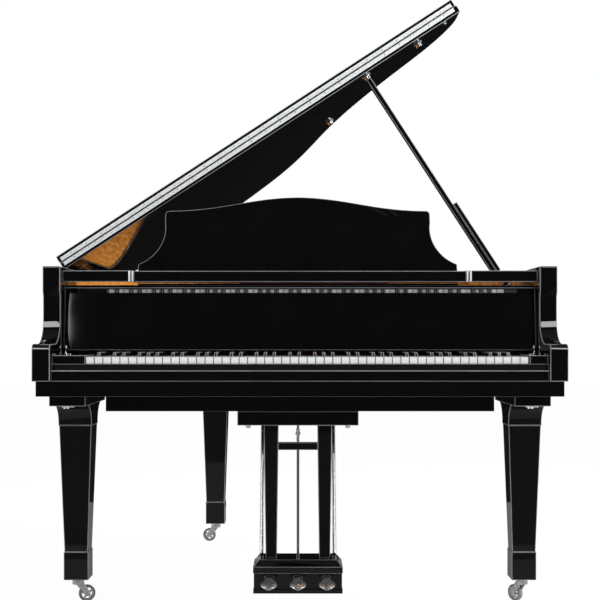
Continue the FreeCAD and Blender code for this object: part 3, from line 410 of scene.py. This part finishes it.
def dress(names: Iterable[str], finish: Finish, bevel_mm: float = 0.0, curved: bool = False) -> None:
    """Give CAD nodes a finish and, where asked, eased edges, which an edge finish paints: a highlight on
    lacquer and black keys, shade on white keys.

    Args:
        names: CAD nodes.
        finish: Their surface.
        bevel_mm: Width of the eased edge, none where zero.
        curved: Whether narrow strips of a curved face are shaded by their area.
    """
    material = finish.build()
    for name in names:
        node = frame["nodes"][name]
        node.data.materials.clear()
        node.data.materials.append(material)
        if bevel_mm:
            joined = node.modifiers.new("joined_corners", "WELD")
            joined.merge_threshold = WELD_MM * MM
            eased = node.modifiers.new("eased_edges", "BEVEL")
            eased.width = bevel_mm * MM
            eased.segments = EDGE_STEPS
            eased.limit_method = "ANGLE"
            eased.angle_limit = math.radians(EDGE_DEG)
            eased.use_clamp_overlap = False
            eased.loop_slide = False
            eased.harden_normals = not curved
            if curved:
                node.modifiers.new("even_shading", "WEIGHTED_NORMAL")
            # The edge finish is colour painted onto the bevels: a painted highlight on lacquer and black
            # keys, painted shade between white keys
            if finish.edge:
                node.data.materials.append(finish.edge.build())
                eased.material = 1
        LOG.info("dressed %s in %s", name, finish.name)


def piece(name: str, mesh: bmesh.types.BMesh, finish: Finish, body: str,
          smooth_deg: float = 35.0) -> bpy.types.Object:
    """Turn a mesh into a named piece that rides on a body.

    Args:
        name: Name of the piece.
        mesh: Mesh in metres in the shared frame; it is freed.
        finish: Surface of the piece.
        body: CAD body that it moves with.
        smooth_deg: Edges sharper than this stay crisp.

    Returns:
        The new object.
    """
    bmesh.ops.remove_doubles(mesh, verts=mesh.verts, dist=1e-6)
    bmesh.ops.recalc_face_normals(mesh, faces=mesh.faces)
    data = bpy.data.meshes.new(name)
    mesh.to_mesh(data)
    mesh.free()
    data.materials.append(finish.build())
    made = bpy.data.objects.new(name, data)
    bpy.context.scene.collection.objects.link(made)
    for face in data.polygons:
        face.use_smooth = True
    data.set_sharp_from_angle(angle=math.radians(smooth_deg))
    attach(made, body)
    LOG.info("built %s on %s", name, body)
    return made


def lathe(mesh: bmesh.types.BMesh, profile: Sequence[tuple[float, float]], centre: Vector, axis: Vector,
          steps: int = 32, closed: bool = False) -> None:
    """Turn a profile of (radius, height) points round an axis.

    Args:
        mesh: Mesh that takes the faces.
        profile: Radii and heights in metres.
        centre: Point on the axis at height zero.
        axis: Direction of the axis.
        steps: Points round the circle.
        closed: Joins the last profile point to the first, for a ring.
    """
    turn = UP.rotation_difference(axis.normalized()).to_matrix()
    rings = []
    for radius, height in profile:
        ring = []
        for i in range(steps):
            angle = math.tau * i / steps
            spot = Vector((radius * math.cos(angle), radius * math.sin(angle), height))
            ring.append(mesh.verts.new(centre + turn @ spot))
        rings.append(ring)
    pairs = list(zip(rings, rings[1:]))
    if closed:
        pairs.append((rings[-1], rings[0]))
    for low, high in pairs:
        for i in range(steps):
            mesh.faces.new((low[i], low[(i + 1) % steps], high[(i + 1) % steps], high[i]))
    if not closed:
        for ring in (rings[0], rings[-1]):
            mesh.faces.new(ring)


def slab(mesh: bmesh.types.BMesh, low: Point, high: Point, turn: Matrix | None = None,
         ease: float = 0.0) -> None:
    """Add a block between two corners, turned by a matrix, with eased edges.

    Args:
        mesh: Mesh that takes the faces.
        low: Lowest corner in metres.
        high: Highest corner in metres.
        turn: Matrix that moves the block into place.
        ease: Width of the eased edges in metres.
    """
    size = Vector(high) - Vector(low)
    centre = (Vector(high) + Vector(low)) / 2
    made = bmesh.ops.create_cube(mesh, size=1.0)["verts"]
    bmesh.ops.scale(mesh, vec=size, verts=made)
    bmesh.ops.translate(mesh, vec=centre, verts=made)
    if ease:
        edges = list({edge for vert in made for edge in vert.link_edges})
        made = bmesh.ops.bevel(mesh, geom=edges, offset=ease, segments=2, profile=0.7,
                               affect="EDGES")["verts"]
    if turn is not None:
        bmesh.ops.transform(mesh, matrix=turn, verts=made)


def joint(name: str) -> dict[str, Any]:
    """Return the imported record's joint of that name."""
    return next(j for j in frame["joints"] if j["name"] == name)


@dataclass
class Case:
    """Rim, arms, keybed and the timber inside."""

    edge_mm: float = 2.2
    fitting_edge_mm: float = 0.6
    slip_edge_mm: float = 1.5
    fine_edge_mm: float = 0.3
    knob_radius: float = 0.0046
    felt_from: float = 0.4635
    felt_to: float = 0.99
    slide_bars: tuple[tuple[float, float], ...] = ((0.0006, 0.0052), (0.0092, 0.0148))
    cap_ends: tuple[float, float] = (-0.466, 0.479)
    cap_gap: float = 0.0012
    cap_depth: float = 0.008
    pin_inset: float = 0.006
    pin_lift: float = 0.001
    screw_gaps: tuple[float, float] = (0.018, 0.0245)
    screw_back: float = 0.022
    slide_proud: float = 0.0016
    slide_margin: float = 0.001
    rail_behind: tuple[float, float] = (0.012, 0.032)
    rail_lift: float = 0.018
    rail_lap: float = 0.004

    def build(self) -> None:
        """Dress the case and add its small fittings."""
        dress(("bass_arm", "treble_arm"), LACQUER, self.edge_mm, curved=True)
        dress(("outer_rim", "bass_key_block", "treble_key_block", "music_shelves"), LACQUER, self.edge_mm)
        dress(("keyslip",), LACQUER, self.slip_edge_mm)
        dress(("keybed",), LACQUER, self.fine_edge_mm)
        dress(("rim_lining",), RIM_VENEER)
        dress(("inner_rim", "belly_rail", "frame_posts", "pin_block", "bridges"), HARDWOOD)
        dress(("stretcher", "under_beams"), LACQUER, self.fine_edge_mm)
        dress(("soundboard", "soundboard_ribs"), SPRUCE)
        dress(("iron_plate",), BRONZED_IRON)
        dress(("case_fittings",), CHROME, self.fitting_edge_mm)
        self.fallboard_knobs()
        self.slide_plates()
        self.damper_rail()
        self.stretcher_cap()

    def stretcher_cap(self) -> None:
        """Build the black cap that stands on the stretcher, just under the sliding tray."""
        low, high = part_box("stretcher")
        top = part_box("music_tray")[0].z - self.cap_gap
        start, end = self.cap_ends
        mesh = bmesh.new()
        slab(mesh, (start, low.y, high.z), (end, low.y + self.cap_depth, top), ease=0.0008)
        piece("stretcher_cap", mesh, SATIN_BLACK, "case")

    def fallboard_knobs(self) -> None:
        """Build the turned pin at each end of the fallboard, and two screws on each key block beside it."""
        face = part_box("fallboard")[0].y
        for label in ("bass", "treble"):
            low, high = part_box(f"{label}_key_block")
            inward = 1 if label == "bass" else -1
            wall = low.x if label == "bass" else high.x
            radius = self.knob_radius
            mesh = bmesh.new()
            foot = Vector((wall + inward * self.pin_inset, face - radius - 0.0002, high.z + self.pin_lift))
            profile = ((radius, 0.0), (radius, 0.003), (radius * 0.55, 0.006), (radius * 0.5, 0.010),
                       (radius * 0.9, 0.014), (radius, 0.019), (radius * 0.85, 0.024), (radius * 0.3, 0.027))
            lathe(mesh, profile, foot, UP, 24)
            piece(f"{label}_fallboard_pin", mesh, CHROME, "fallboard")
            mesh = bmesh.new()
            for gap in self.screw_gaps:
                head = Vector((wall + inward * gap, high.y - self.screw_back, high.z))
                lathe(mesh, ((0.0028, 0.0), (0.0028, 0.0016), (0.0018, 0.0032), (0.0006, 0.0036)), head,
                      UP, 16)
            piece(f"{label}_block_screws", mesh, CHROME, "case")

    def slide_plates(self) -> None:
        """Build the two bright slide bars on the front end of each side shelf."""
        low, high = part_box("music_shelves")
        tray_low, tray_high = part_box("music_tray")
        for label, edge, side in (("bass", tray_low.x, -1), ("treble", tray_high.x, 1)):
            mesh = bmesh.new()
            for near, far in self.slide_bars:
                x0, x1 = sorted((edge + side * near, edge + side * far))
                slab(mesh, (x0, low.y - self.slide_proud, low.z + self.slide_margin),
                     (x1, low.y, high.z - self.slide_margin), ease=0.0005)
            piece(f"{label}_tray_slide_plate", mesh, NICKEL, "case")

    def damper_rail(self) -> None:
        """Build the felt-faced stop rail that stands over the dampers' backs."""
        low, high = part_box("damper_heads")
        shelf_low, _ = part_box("music_shelves")
        width = high.x - low.x
        mesh = bmesh.new()
        front, back = self.rail_behind
        slab(mesh, (low.x + width * self.felt_from, high.y + front, high.z + self.rail_lift),
             (low.x + width * self.felt_to, high.y + back, shelf_low.z + self.rail_lap), ease=0.002)
        piece("damper_stop_rail", mesh, RED_FELT, "case")


@dataclass
class Keyboard:
    """Keys, their frame and the fallboard."""

    key_edge_mm: float = 1.2
    sharp_edge_mm: float = 2.4
    board_edge_mm: float = 1.6
    strip_top_mm: float = 2.2
    strip_foot_mm: float = 0.5
    lip_height: float = 0.03
    strip_span: tuple[float, float] = (0.28, 0.94)

    def build(self) -> None:
        """Dress the keys and the fallboard."""
        dress(("bass_naturals", "treble_naturals"), KEY_WHITE, self.key_edge_mm)
        dress(("bass_sharps", "treble_sharps"), KEY_BLACK, self.sharp_edge_mm)
        dress(("key_frame",), HARDWOOD)
        dress(("fallboard",), LACQUER, self.board_edge_mm)
        self.hinge_strip()

    def hinge_strip(self) -> None:
        """Build the bright wedge strip under the fallboard's lip, which mirrors the keys below it."""
        _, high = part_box("fallboard")
        lip = [v.co for v in frame["nodes"]["fallboard"].data.vertices if v.co.z > high.z - self.lip_height]
        nose = min(lip, key=lambda spot: spot.y)
        root = min(lip, key=lambda spot: spot.z)
        face_top = Vector((0.0, nose.y, nose.z))
        face_foot = Vector((0.0, root.y, root.z))
        down = face_foot - face_top
        out = Vector((0.0, down.z, -down.y)).normalized()
        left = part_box("bass_naturals")[0].x
        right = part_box("treble_naturals")[1].x
        upper, lower = (face_top + down * share for share in self.strip_span)
        mesh = bmesh.new()
        ends = []
        for x in (left, right):
            shift = Vector((x, 0, 0))
            ends.append([mesh.verts.new(shift + spot) for spot in (
                upper, lower, lower + out * self.strip_foot_mm * MM, upper + out * self.strip_top_mm * MM)])
        for i in range(4):
            after = (i + 1) % 4
            mesh.faces.new((ends[0][i], ends[0][after], ends[1][after], ends[1][i]))
        for end in ends:
            mesh.faces.new(end)
        piece("fallboard_hinge_strip", mesh, MIRROR_STRIP, "fallboard")


@dataclass
class Strings:
    """Strings, tuning pins and dampers."""

    def build(self) -> None:
        """Dress the strung parts."""
        dress(("plain_strings", "tuning_pins"), WIRE_STEEL)
        dress(("wound_strings",), COPPER_WOUND)
        dress(("damper_heads",), SATIN_BLACK, 1.0)


@dataclass
class MusicDesk:
    """Sliding tray with the folding desk."""

    def build(self) -> None:
        """Dress the tray, desk and struts."""
        dress(("music_tray", "music_desk"), LACQUER, 2.0)
        dress(("desk_struts",), SATIN_BLACK, 0.8)


@dataclass
class Lid:
    """Lid in two leaves, with the long hinge between them and the prop under it."""

    edge_mm: float = 2.2
    prop_edge_mm: float = 2.4
    leaf_edge_mm: float = 0.4
    screw_pitch: float = 0.055
    screw_radius: float = 0.0022
    knuckle: float = 0.038
    knuckle_radius: float = 0.002
    knuckle_bore: float = 0.00155
    knuckle_gap: float = 0.0004
    knuckle_chamfer: float = 0.0003
    leaf_face: float = 0.0016
    button: tuple[float, float] = (1.428, 0.020)

    def build(self) -> None:
        """Dress the lid and add the long hinge's knuckles, its screws and a rest button."""
        dress(("main_lid", "front_lid", "short_prop"), LACQUER, self.edge_mm)
        dress(("prop_stick",), LACQUER, self.prop_edge_mm)
        dress(("main_hinge_leaf", "front_hinge_leaf"), NICKEL, self.leaf_edge_mm)
        dress(("lid_hinge_lid_leaves", "lid_prop_cups"), CHROME, self.leaf_edge_mm)
        self.hinge_screws("main_hinge_leaf", "lid")
        self.hinge_screws("front_hinge_leaf", "lid_flap")
        self.knuckles()
        self.rest_button()

    def knuckles(self) -> None:
        """Build the row of knuckles round the long hinge's barrel, dark as painted shade for the gap between
        the leaves.
        """
        fold = joint("flap_hinge")
        along = Vector(fold["axis"]).normalized()
        pivot = Vector(fold["pos_m"])
        corners = [v.co for v in frame["nodes"]["main_hinge_leaf"].data.vertices]
        start = min((c - pivot).dot(along) for c in corners)
        end = max((c - pivot).dot(along) for c in corners)
        count = round((end - start) / self.knuckle)
        step = (end - start) / count
        mesh = bmesh.new()
        bore = self.knuckle_bore
        for i in range(count):
            foot = pivot + along * (start + i * step + self.knuckle_gap)
            long = step - self.knuckle_gap * 2
            outer, cut = self.knuckle_radius, self.knuckle_chamfer
            lathe(mesh, ((bore, 0.0), (outer, cut), (outer, long - cut), (bore, long)), foot, along, 14,
                  closed=True)
        piece("flap_hinge_knuckles", mesh, KNUCKLE_PAINTED_SHADE, "lid")

    def rest_button(self) -> None:
        """Build the small buffer under the lid's treble front corner."""
        hinge = Vector(joint("lid_hinge")["pos_m"])
        along = Vector(joint("flap_hinge")["axis"]).normalized()
        up = Vector((-along.z, 0, along.x))
        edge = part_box("main_hinge_leaf")[1].y
        reach, inset = self.button
        foot = hinge + along * reach
        foot.y = edge + inset
        mesh = bmesh.new()
        profile = ((0.0075, 0.0), (0.0075, 0.0015), (0.005, 0.003), (0.005, 0.0065), (0.002, 0.008))
        lathe(mesh, profile, foot, -up, 20)
        piece("lid_rest_button", mesh, CHROME, "lid")

    def hinge_screws(self, leaf: str, body: str) -> None:
        """Build a row of countersunk screw heads along a hinge leaf.

        Args:
            leaf: CAD node of the leaf.
            body: Body that the leaf is on.
        """
        along = Vector(joint("flap_hinge")["axis"]).normalized()
        low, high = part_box(leaf)
        up = Vector((-along.z, 0, along.x))
        corners = [v.co for v in frame["nodes"][leaf].data.vertices]
        start = min(c.dot(along) for c in corners)
        end = max(c.dot(along) for c in corners)
        level = (min(c.dot(up) for c in corners) + max(c.dot(up) for c in corners)) / 2
        count = int((end - start) / self.screw_pitch)
        margin = (end - start - (count - 1) * self.screw_pitch) / 2
        mesh = bmesh.new()
        for i in range(count):
            spot = along * (start + margin + i * self.screw_pitch) + up * level
            spot.y = low.y if leaf.startswith("front") else high.y - self.leaf_face
            radius = self.screw_radius
            profile = ((radius, 0.0), (radius * 0.95, 0.00006), (radius * 0.5, 0.00009),
                       (radius * 0.2, 0.00003))
            lathe(mesh, profile, spot, Vector((0, -1, 0)), 14)
        piece(f"{leaf}_screws", mesh, ZINC, body)


@dataclass
class Legs:
    """Three legs on swivelling casters."""

    spokes: int = 5
    wheel_radius: float = 0.024
    wheel_half: float = 0.0075
    axle_bore: float = 0.0041
    lock_half: float = 0.017
    lock_behind: tuple[float, float] = (0.006, 0.022)
    lock_thick: float = 0.003
    lock_screws: tuple[float, float] = (-0.009, 0.0)
    lock_screw_behind: float = 0.012

    def build(self) -> None:
        """Dress the legs and build the caster wheels."""
        names = ("bass_front", "treble_front", "rear")
        dress((f"{name}_leg" for name in names), LACQUER, 2.0)
        dress((f"{name}_caster_fork" for name in names), ZINC, 1.0)
        for name in names:
            self.wheel(name)
        for name in names[:2]:
            self.leg_lock(name)

    def leg_lock(self, name: str) -> None:
        """Build the sliding lock plate with its two screws, under the front of a leg's top block.

        Args:
            name: Which leg it is on.
        """
        low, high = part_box(f"{name}_leg")
        spots = [v.co for v in frame["nodes"][f"{name}_leg"].data.vertices]
        board = [s for s in spots if s.y < low.y + 0.0005 and s.z > high.z - 0.12]
        under = min(s.z for s in board)
        middle = (low.x + high.x) / 2
        mesh = bmesh.new()
        front, back = self.lock_behind
        slab(mesh, (middle - self.lock_half, low.y + front, under - self.lock_thick),
             (middle + self.lock_half, low.y + back, under), ease=0.0006)
        for gap in self.lock_screws:
            foot = Vector((middle + gap, low.y + self.lock_screw_behind, under - self.lock_thick))
            lathe(mesh, ((0.0036, 0.0), (0.0036, 0.0028), (0.0022, 0.0042)), foot, DOWN, 16)
        piece(f"{name}_leg_lock", mesh, NICKEL, "case")

    def wheel(self, name: str) -> None:
        """Build one wheel: a rubber tyre on a metal rim with spokes and a hub.

        Args:
            name: Which leg it is under.
        """
        roll = joint(f"{name}_wheel_roll")
        centre = Vector(roll["pos_m"])
        axis = Vector(roll["axis"]).normalized()
        radius = self.wheel_radius
        half = self.wheel_half
        rim = radius * 0.78
        tyre = bmesh.new()
        lathe(tyre, ((rim, -half), (radius * 0.95, -half), (radius, -half * 0.6), (radius, half * 0.6),
                     (radius * 0.95, half), (rim, half)), centre, axis, 48, closed=True)
        tread = piece(f"{name}_wheel_tyre", tyre, TYRE_RUBBER, f"{name}_wheel")
        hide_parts(f"{name}_caster_wheel")
        disc = bmesh.new()
        hub = radius * 0.3
        ring = ((rim, -half * 0.95), (rim, half * 0.95), (rim * 0.9, half * 0.95), (rim * 0.86, half * 0.4),
                (rim * 0.86, -half * 0.4), (rim * 0.9, -half * 0.95))
        lathe(disc, ring, centre, axis, 48, closed=True)
        bore = self.axle_bore
        lathe(disc, ((hub, -half), (hub, half), (bore, half), (bore, -half)), centre, axis, 24, closed=True)
        turn = UP.rotation_difference(axis).to_matrix().to_4x4()
        for i in range(self.spokes):
            swing = Matrix.Rotation(math.tau * i / self.spokes, 4, "Z")
            slab(disc, (hub * 0.9, -0.0026, -half * 0.4), (rim * 0.9, 0.0026, half * 0.4),
                 Matrix.Translation(centre) @ turn @ swing, ease=0.0006)
        piece(f"{name}_wheel_disc", disc, ZINC, f"{name}_wheel")


@dataclass
class Lyre:
    """Pedal lyre with its rods and pedals."""

    band_out: float = 0.002
    plinth_out: float = 0.0015
    plinth_height: float = 0.013
    toe: float = 0.024
    neck: float = 0.0075
    toe_drop: float = 0.0085
    tread_sides: int = 16
    tread_lift: float = 0.0046
    tread_sink: float = 0.0042
    axle_radius: float = 0.004
    adjuster_drop: float = 0.034
    threads: int = 6
    thread_pitch: float = 0.0026
    bolt_apart: float = 0.146
    bolt_behind: float = 0.03

    def build(self) -> None:
        """Dress the lyre and build its pedals and small fittings."""
        dress(("lyre_head", "lyre_posts"), LACQUER, 1.8)
        dress(("pedal_box",), LACQUER, 0.8)
        dress(("lyre_braces", "soft_rod", "sostenuto_rod", "damper_rod"), CHROME)
        for name in ("soft", "sostenuto", "damper"):
            self.pedal(name)
            self.adjuster(name)
        self.bolts()
        self.plinth()

    def plinth(self) -> None:
        """Build the low moulding round the foot of the pedal box."""
        low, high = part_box("pedal_box")
        inset = self.band_out - self.plinth_out
        top = low.z + self.plinth_height
        mesh = bmesh.new()
        slab(mesh, (low.x + inset, low.y + inset, low.z), (high.x - inset, low.y + self.band_out, top),
             ease=0.0005)
        for x0, x1 in ((low.x + inset, low.x + self.band_out), (high.x - self.band_out, high.x - inset)):
            slab(mesh, (x0, low.y + inset, low.z), (x1, high.y - 0.001, top), ease=0.0005)
        piece("pedal_box_plinth", mesh, LACQUER, "case")

    def pedal(self, name: str) -> None:
        """Build a cast pedal: a round-nosed tread that narrows to a neck, crowned across its width.

        Args:
            name: Which pedal.
        """
        low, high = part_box(f"{name}_pedal")
        x = (low.x + high.x) / 2
        toe, sides = self.toe, self.tread_sides
        waist = self.neck / toe
        stations = ((0.0, 0.3), (0.03, 0.6), (0.08, 0.88), (0.14, 1.0), (0.22, 0.94), (0.32, 0.6), (0.4, 0.4),
                    (0.48, 0.34), (0.6, waist), (1.0, waist))
        length = high.y - low.y
        rings = []
        mesh = bmesh.new()
        for share, wide in stations:
            y = low.y + 0.0004 + (length - 0.0008) * share
            half = toe * wide
            drop = self.toe_drop * max(0.0, 1 - share / 0.42) ** 2
            ring = []
            for i in range(sides):
                angle = math.tau * i / sides
                flat = math.copysign(abs(math.sin(angle)) ** 0.6, math.sin(angle))
                lift = self.tread_lift if flat > 0 else self.tread_sink
                middle = (low.z + high.z) / 2 - drop
                ring.append(mesh.verts.new((x + half * math.cos(angle), y, middle + lift * flat)))
            rings.append(ring)
        for front_ring, back_ring in zip(rings, rings[1:]):
            for i in range(sides):
                after = (i + 1) % sides
                mesh.faces.new((front_ring[i], front_ring[after], back_ring[after], back_ring[i]))
        mesh.faces.new(rings[0])
        mesh.faces.new(rings[-1])
        pivot = joint(f"{name}_pedal_tread")["pos_m"]
        axle = self.axle_radius
        lathe(mesh, ((axle, 0.0), (axle, high.x - low.x)), Vector((low.x, pivot[1], pivot[2])),
              Vector((1, 0, 0)), 16)
        tread = piece(f"{name}_pedal_tread", mesh, PEDAL_PLATE, f"{name}_pedal", 50.0)
        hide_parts(f"{name}_pedal")

    def adjuster(self, name: str) -> None:
        """Build the knurled nut and thread near the top of a pedal rod.

        Args:
            name: Which pedal's rod.
        """
        low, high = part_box(f"{name}_rod")
        head_low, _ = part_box("lyre_head")
        centre = Vector(((low.x + high.x) / 2, (low.y + high.y) / 2, head_low.z - self.adjuster_drop))
        mesh = bmesh.new()
        core = (high.x - low.x) / 2 + 0.0001
        profile = ((core, 0.0), (0.0075, 0.001), (0.0075, 0.008), (0.0055, 0.01), (0.0055, 0.02),
                   (core, 0.021))
        lathe(mesh, profile, centre, UP, 20)
        for i in range(self.threads):
            lathe(mesh, ((core, 0.0), (core + 0.0008, 0.0011), (core, 0.0022)),
                  centre - Vector((0, 0, 0.003 + i * self.thread_pitch)), DOWN, 16)
        piece(f"{name}_rod_adjuster", mesh, NICKEL, f"{name}_rod")

    def bolts(self) -> None:
        """Build the two hexagon bolts under the lyre head."""
        low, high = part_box("lyre_head")
        middle = (low.x + high.x) / 2
        for label, side in (("bass", -1), ("treble", 1)):
            mesh = bmesh.new()
            foot = Vector((middle + side * self.bolt_apart, low.y + self.bolt_behind, low.z))
            lathe(mesh, ((0.0095, 0.0), (0.0095, 0.0018), (0.008, 0.002), (0.008, 0.0085), (0.0065, 0.0095)),
                  foot, DOWN, 6)
            piece(f"{label}_lyre_bolt", mesh, ZINC, "case")


@dataclass
class Studio:
    """Camera, floor, soft lights and the cards that the lacquer mirrors."""

    camera_place: Point = (0.0127, -3.923, 0.785)
    lens_mm: float = 68.9
    horizon_shift: float = 0.0583
    floor_reach: float = 14.0
    floor_glow: float = 0.965
    fill_strength: float = 0.55

    def build(self) -> None:
        """Set up the picture."""
        scene = bpy.context.scene
        scene.view_settings.view_transform = "Standard"
        camera = bpy.data.objects.new("camera", bpy.data.cameras.new("camera"))
        camera.location = self.camera_place
        camera.rotation_euler = (math.radians(90), 0, 0)
        camera.data.lens = self.lens_mm
        camera.data.sensor_width = 36.0
        camera.data.shift_y = self.horizon_shift
        scene.collection.objects.link(camera)
        scene.camera = camera
        self.world()
        self.floor()
        self.lamps()
        self.cards()

    def world(self) -> None:
        """White behind the object for the camera and mirrors, a plain soft fill elsewhere."""
        world = bpy.data.worlds.new("studio")
        bpy.context.scene.world = world
        world.use_nodes = True
        tree = world.node_tree
        tree.nodes.clear()
        seen = self.seen(tree)
        fill = add_node(tree, "ShaderNodeBackground",
                        {"Color": linear("FFFFFF"), "Strength": self.fill_strength})
        white = add_node(tree, "ShaderNodeBackground", {"Color": linear("FFFFFF"), "Strength": 1.0})
        mixed = add_node(tree, "ShaderNodeMixShader", {"Fac": seen})
        tree.links.new(fill.outputs[0], mixed.inputs[1])
        tree.links.new(white.outputs[0], mixed.inputs[2])
        add_node(tree, "ShaderNodeOutputWorld", {"Surface": mixed.outputs[0]})

    def seen(self, tree: bpy.types.NodeTree) -> Any:
        """Tell the rays that show the background from those that light the object.

        Args:
            tree: Node tree that takes the nodes.

        Returns:
            A socket that is one for camera, glossy and transmission rays.
        """
        path = add_node(tree, "ShaderNodeLightPath")
        first = add_node(tree, "ShaderNodeMath", operation="MAXIMUM")
        second = add_node(tree, "ShaderNodeMath", operation="MAXIMUM")
        tree.links.new(path.outputs["Is Camera Ray"], first.inputs[0])
        tree.links.new(path.outputs["Is Glossy Ray"], first.inputs[1])
        tree.links.new(first.outputs[0], second.inputs[0])
        tree.links.new(path.outputs["Is Transmission Ray"], second.inputs[1])
        return second.outputs[0]

    def floor(self) -> None:
        """Pale floor that keeps a faint shadow."""
        mesh = bmesh.new()
        bmesh.ops.create_grid(mesh, x_segments=1, y_segments=1, size=self.floor_reach)
        data = bpy.data.meshes.new("floor")
        mesh.to_mesh(data)
        mesh.free()
        floor = bpy.data.objects.new("floor", data)
        bpy.context.scene.collection.objects.link(floor)
        material = bpy.data.materials.new("studio_floor_pale")
        material.use_nodes = True
        tree = material.node_tree
        tree.nodes.clear()
        place = add_node(tree, "ShaderNodeTexCoord").outputs["Object"]
        cloud = add_node(tree, "ShaderNodeTexNoise", {"Vector": place, "Scale": 0.6}).outputs["Fac"]
        tint = add_node(tree, "ShaderNodeValToRGB", {"Fac": cloud})
        pale = set_ramp(tint, ((0.2, "F1F1F1"), (0.8, "F7F7F7")))
        paint = add_node(tree, "ShaderNodeBsdfDiffuse", {"Color": pale})
        glow = add_node(tree, "ShaderNodeEmission", {"Color": linear("FFFFFF"), "Strength": 1.0})
        share = add_node(tree, "ShaderNodeMath", {0: self.seen(tree), 1: self.floor_glow},
                         operation="MULTIPLY")
        mixed = add_node(tree, "ShaderNodeMixShader", {"Fac": share.outputs[0]})
        tree.links.new(paint.outputs[0], mixed.inputs[1])
        tree.links.new(glow.outputs[0], mixed.inputs[2])
        add_node(tree, "ShaderNodeOutputMaterial", {"Surface": mixed.outputs[0]})
        data.materials.append(material)

    def lamp(self, name: str, place: Point, aim: Point, wide: float, high: float, watts: float,
             mirrored: bool = True) -> None:
        """Hang one soft box.

        Args:
            name: Name of the lamp.
            place: Where it hangs.
            aim: Point it faces.
            wide: Width of its face in metres.
            high: Height of its face in metres.
            watts: Light output.
            mirrored: Whether polished surfaces show its face.
        """
        data = bpy.data.lights.new(name, "AREA")
        data.shape = "RECTANGLE"
        data.size = wide
        data.size_y = high
        data.energy = watts
        lamp = bpy.data.objects.new(name, data)
        lamp.location = place
        lamp.rotation_euler = (Vector(aim) - Vector(place)).to_track_quat("-Z", "Y").to_euler()
        lamp.visible_glossy = mirrored
        bpy.context.scene.collection.objects.link(lamp)

    def lamps(self) -> None:
        """Hang the soft boxes: fills in front and at the side, one overhead, and strips behind and beside."""
        self.lamp("front_fill", (0.0, -5.6, 3.4), (0.0, 0.0, 0.9), 4.0, 2.4, 62.0, mirrored=False)
        self.lamp("side_fill", (2.9, -0.2, 2.1), (-0.66, -0.1, 0.9), 1.2, 1.0, 150.0, mirrored=False)
        self.lamp("overhead_box", (0.0, -1.3, 3.7), (0.0, -0.9, 0.7), 2.8, 0.4, 20.0, mirrored=False)
        self.lamp("rear_strip", (0.0, 1.7, 4.4), (0.0, -0.6, 0.8), 3.4, 0.5, 40.0)
        for label, side in (("left", -1), ("right", 1)):
            self.lamp(f"{label}_edge_strip", (side * 3.6, -0.9, 1.2), (0.0, -0.6, 0.9), 0.5, 2.2, 27.0)

    def card(self, name: str, place: Point, wide: float, deep: float, tilt: float, glow: float = 0.0) -> None:
        """Stand one card that only mirrors see.

        Args:
            name: Name of the card.
            place: Middle of the card.
            wide: Width in metres.
            deep: Height or depth in metres.
            tilt: Zero for a card that lies flat, 90 for one that stands.
            glow: Light that the card sends out, near nothing for a dark one.
        """
        mesh = bmesh.new()
        bmesh.ops.create_grid(mesh, x_segments=1, y_segments=1, size=0.5)
        data = bpy.data.meshes.new(name)
        mesh.to_mesh(data)
        mesh.free()
        card = bpy.data.objects.new(name, data)
        card.location = place
        card.scale = (wide, deep, 1.0)
        card.rotation_euler = (math.radians(tilt), 0, 0)
        material = bpy.data.materials.new(f"studio_{name}")
        material.use_nodes = True
        tree = material.node_tree
        tree.nodes.clear()
        shine = add_node(tree, "ShaderNodeEmission", {"Color": linear("FFFFFF"), "Strength": glow})
        add_node(tree, "ShaderNodeOutputMaterial", {"Surface": shine.outputs[0]})
        data.materials.append(material)
        for ray in ("camera", "diffuse", "shadow", "transmission", "volume_scatter"):
            setattr(card, f"visible_{ray}", False)
        bpy.context.scene.collection.objects.link(card)

    def cards(self) -> None:
        """Hang the cards.

        Dark ones all round keep black lacquer black, two white ones are for the arms to mirror, and a small
        flag keeps one of these out of the fallboard.
        """
        self.card("front_card", (0.0, -6.4, 4.4), 14.0, 9.0, 90.0, 0.05)
        self.card("back_card", (0.0, 5.0, 3.0), 14.0, 6.4, 90.0, 0.01)
        self.card("top_card", (0.0, -1.0, 8.0), 14.0, 13.0, 0.0, 0.16)
        self.card("near_floor_card", (0.0, -3.85, 0.0012), 9.0, 5.2, 0.0, 0.12)
        self.card("under_card", (0.0, 0.025, 0.0012), 9.0, 2.55, 0.0, 0.3)
        self.card("far_floor_card", (0.0, 3.2, 0.0012), 9.0, 3.8, 0.0, 0.02)
        for label, side in (("left", -1), ("right", 1)):
            self.card(f"{label}_white_card", (side * 1.56, -3.95, 2.4), 0.4, 1.9, 90.0, 10.0)
        self.card("treble_flag", (0.672, -0.64, 0.89), 0.066, 0.3, 90.0, 0.05)


def main() -> None:
    """Build and dress the piano, then the studio."""
    logging.basicConfig(level=logging.INFO, format="%(name)s: %(message)s")
    for assembly in (Case(), Keyboard(), Strings(), MusicDesk(), Lid(), Legs(), Lyre(), Studio()):
        assembly.build()


if __name__ == "__main__":
    main()
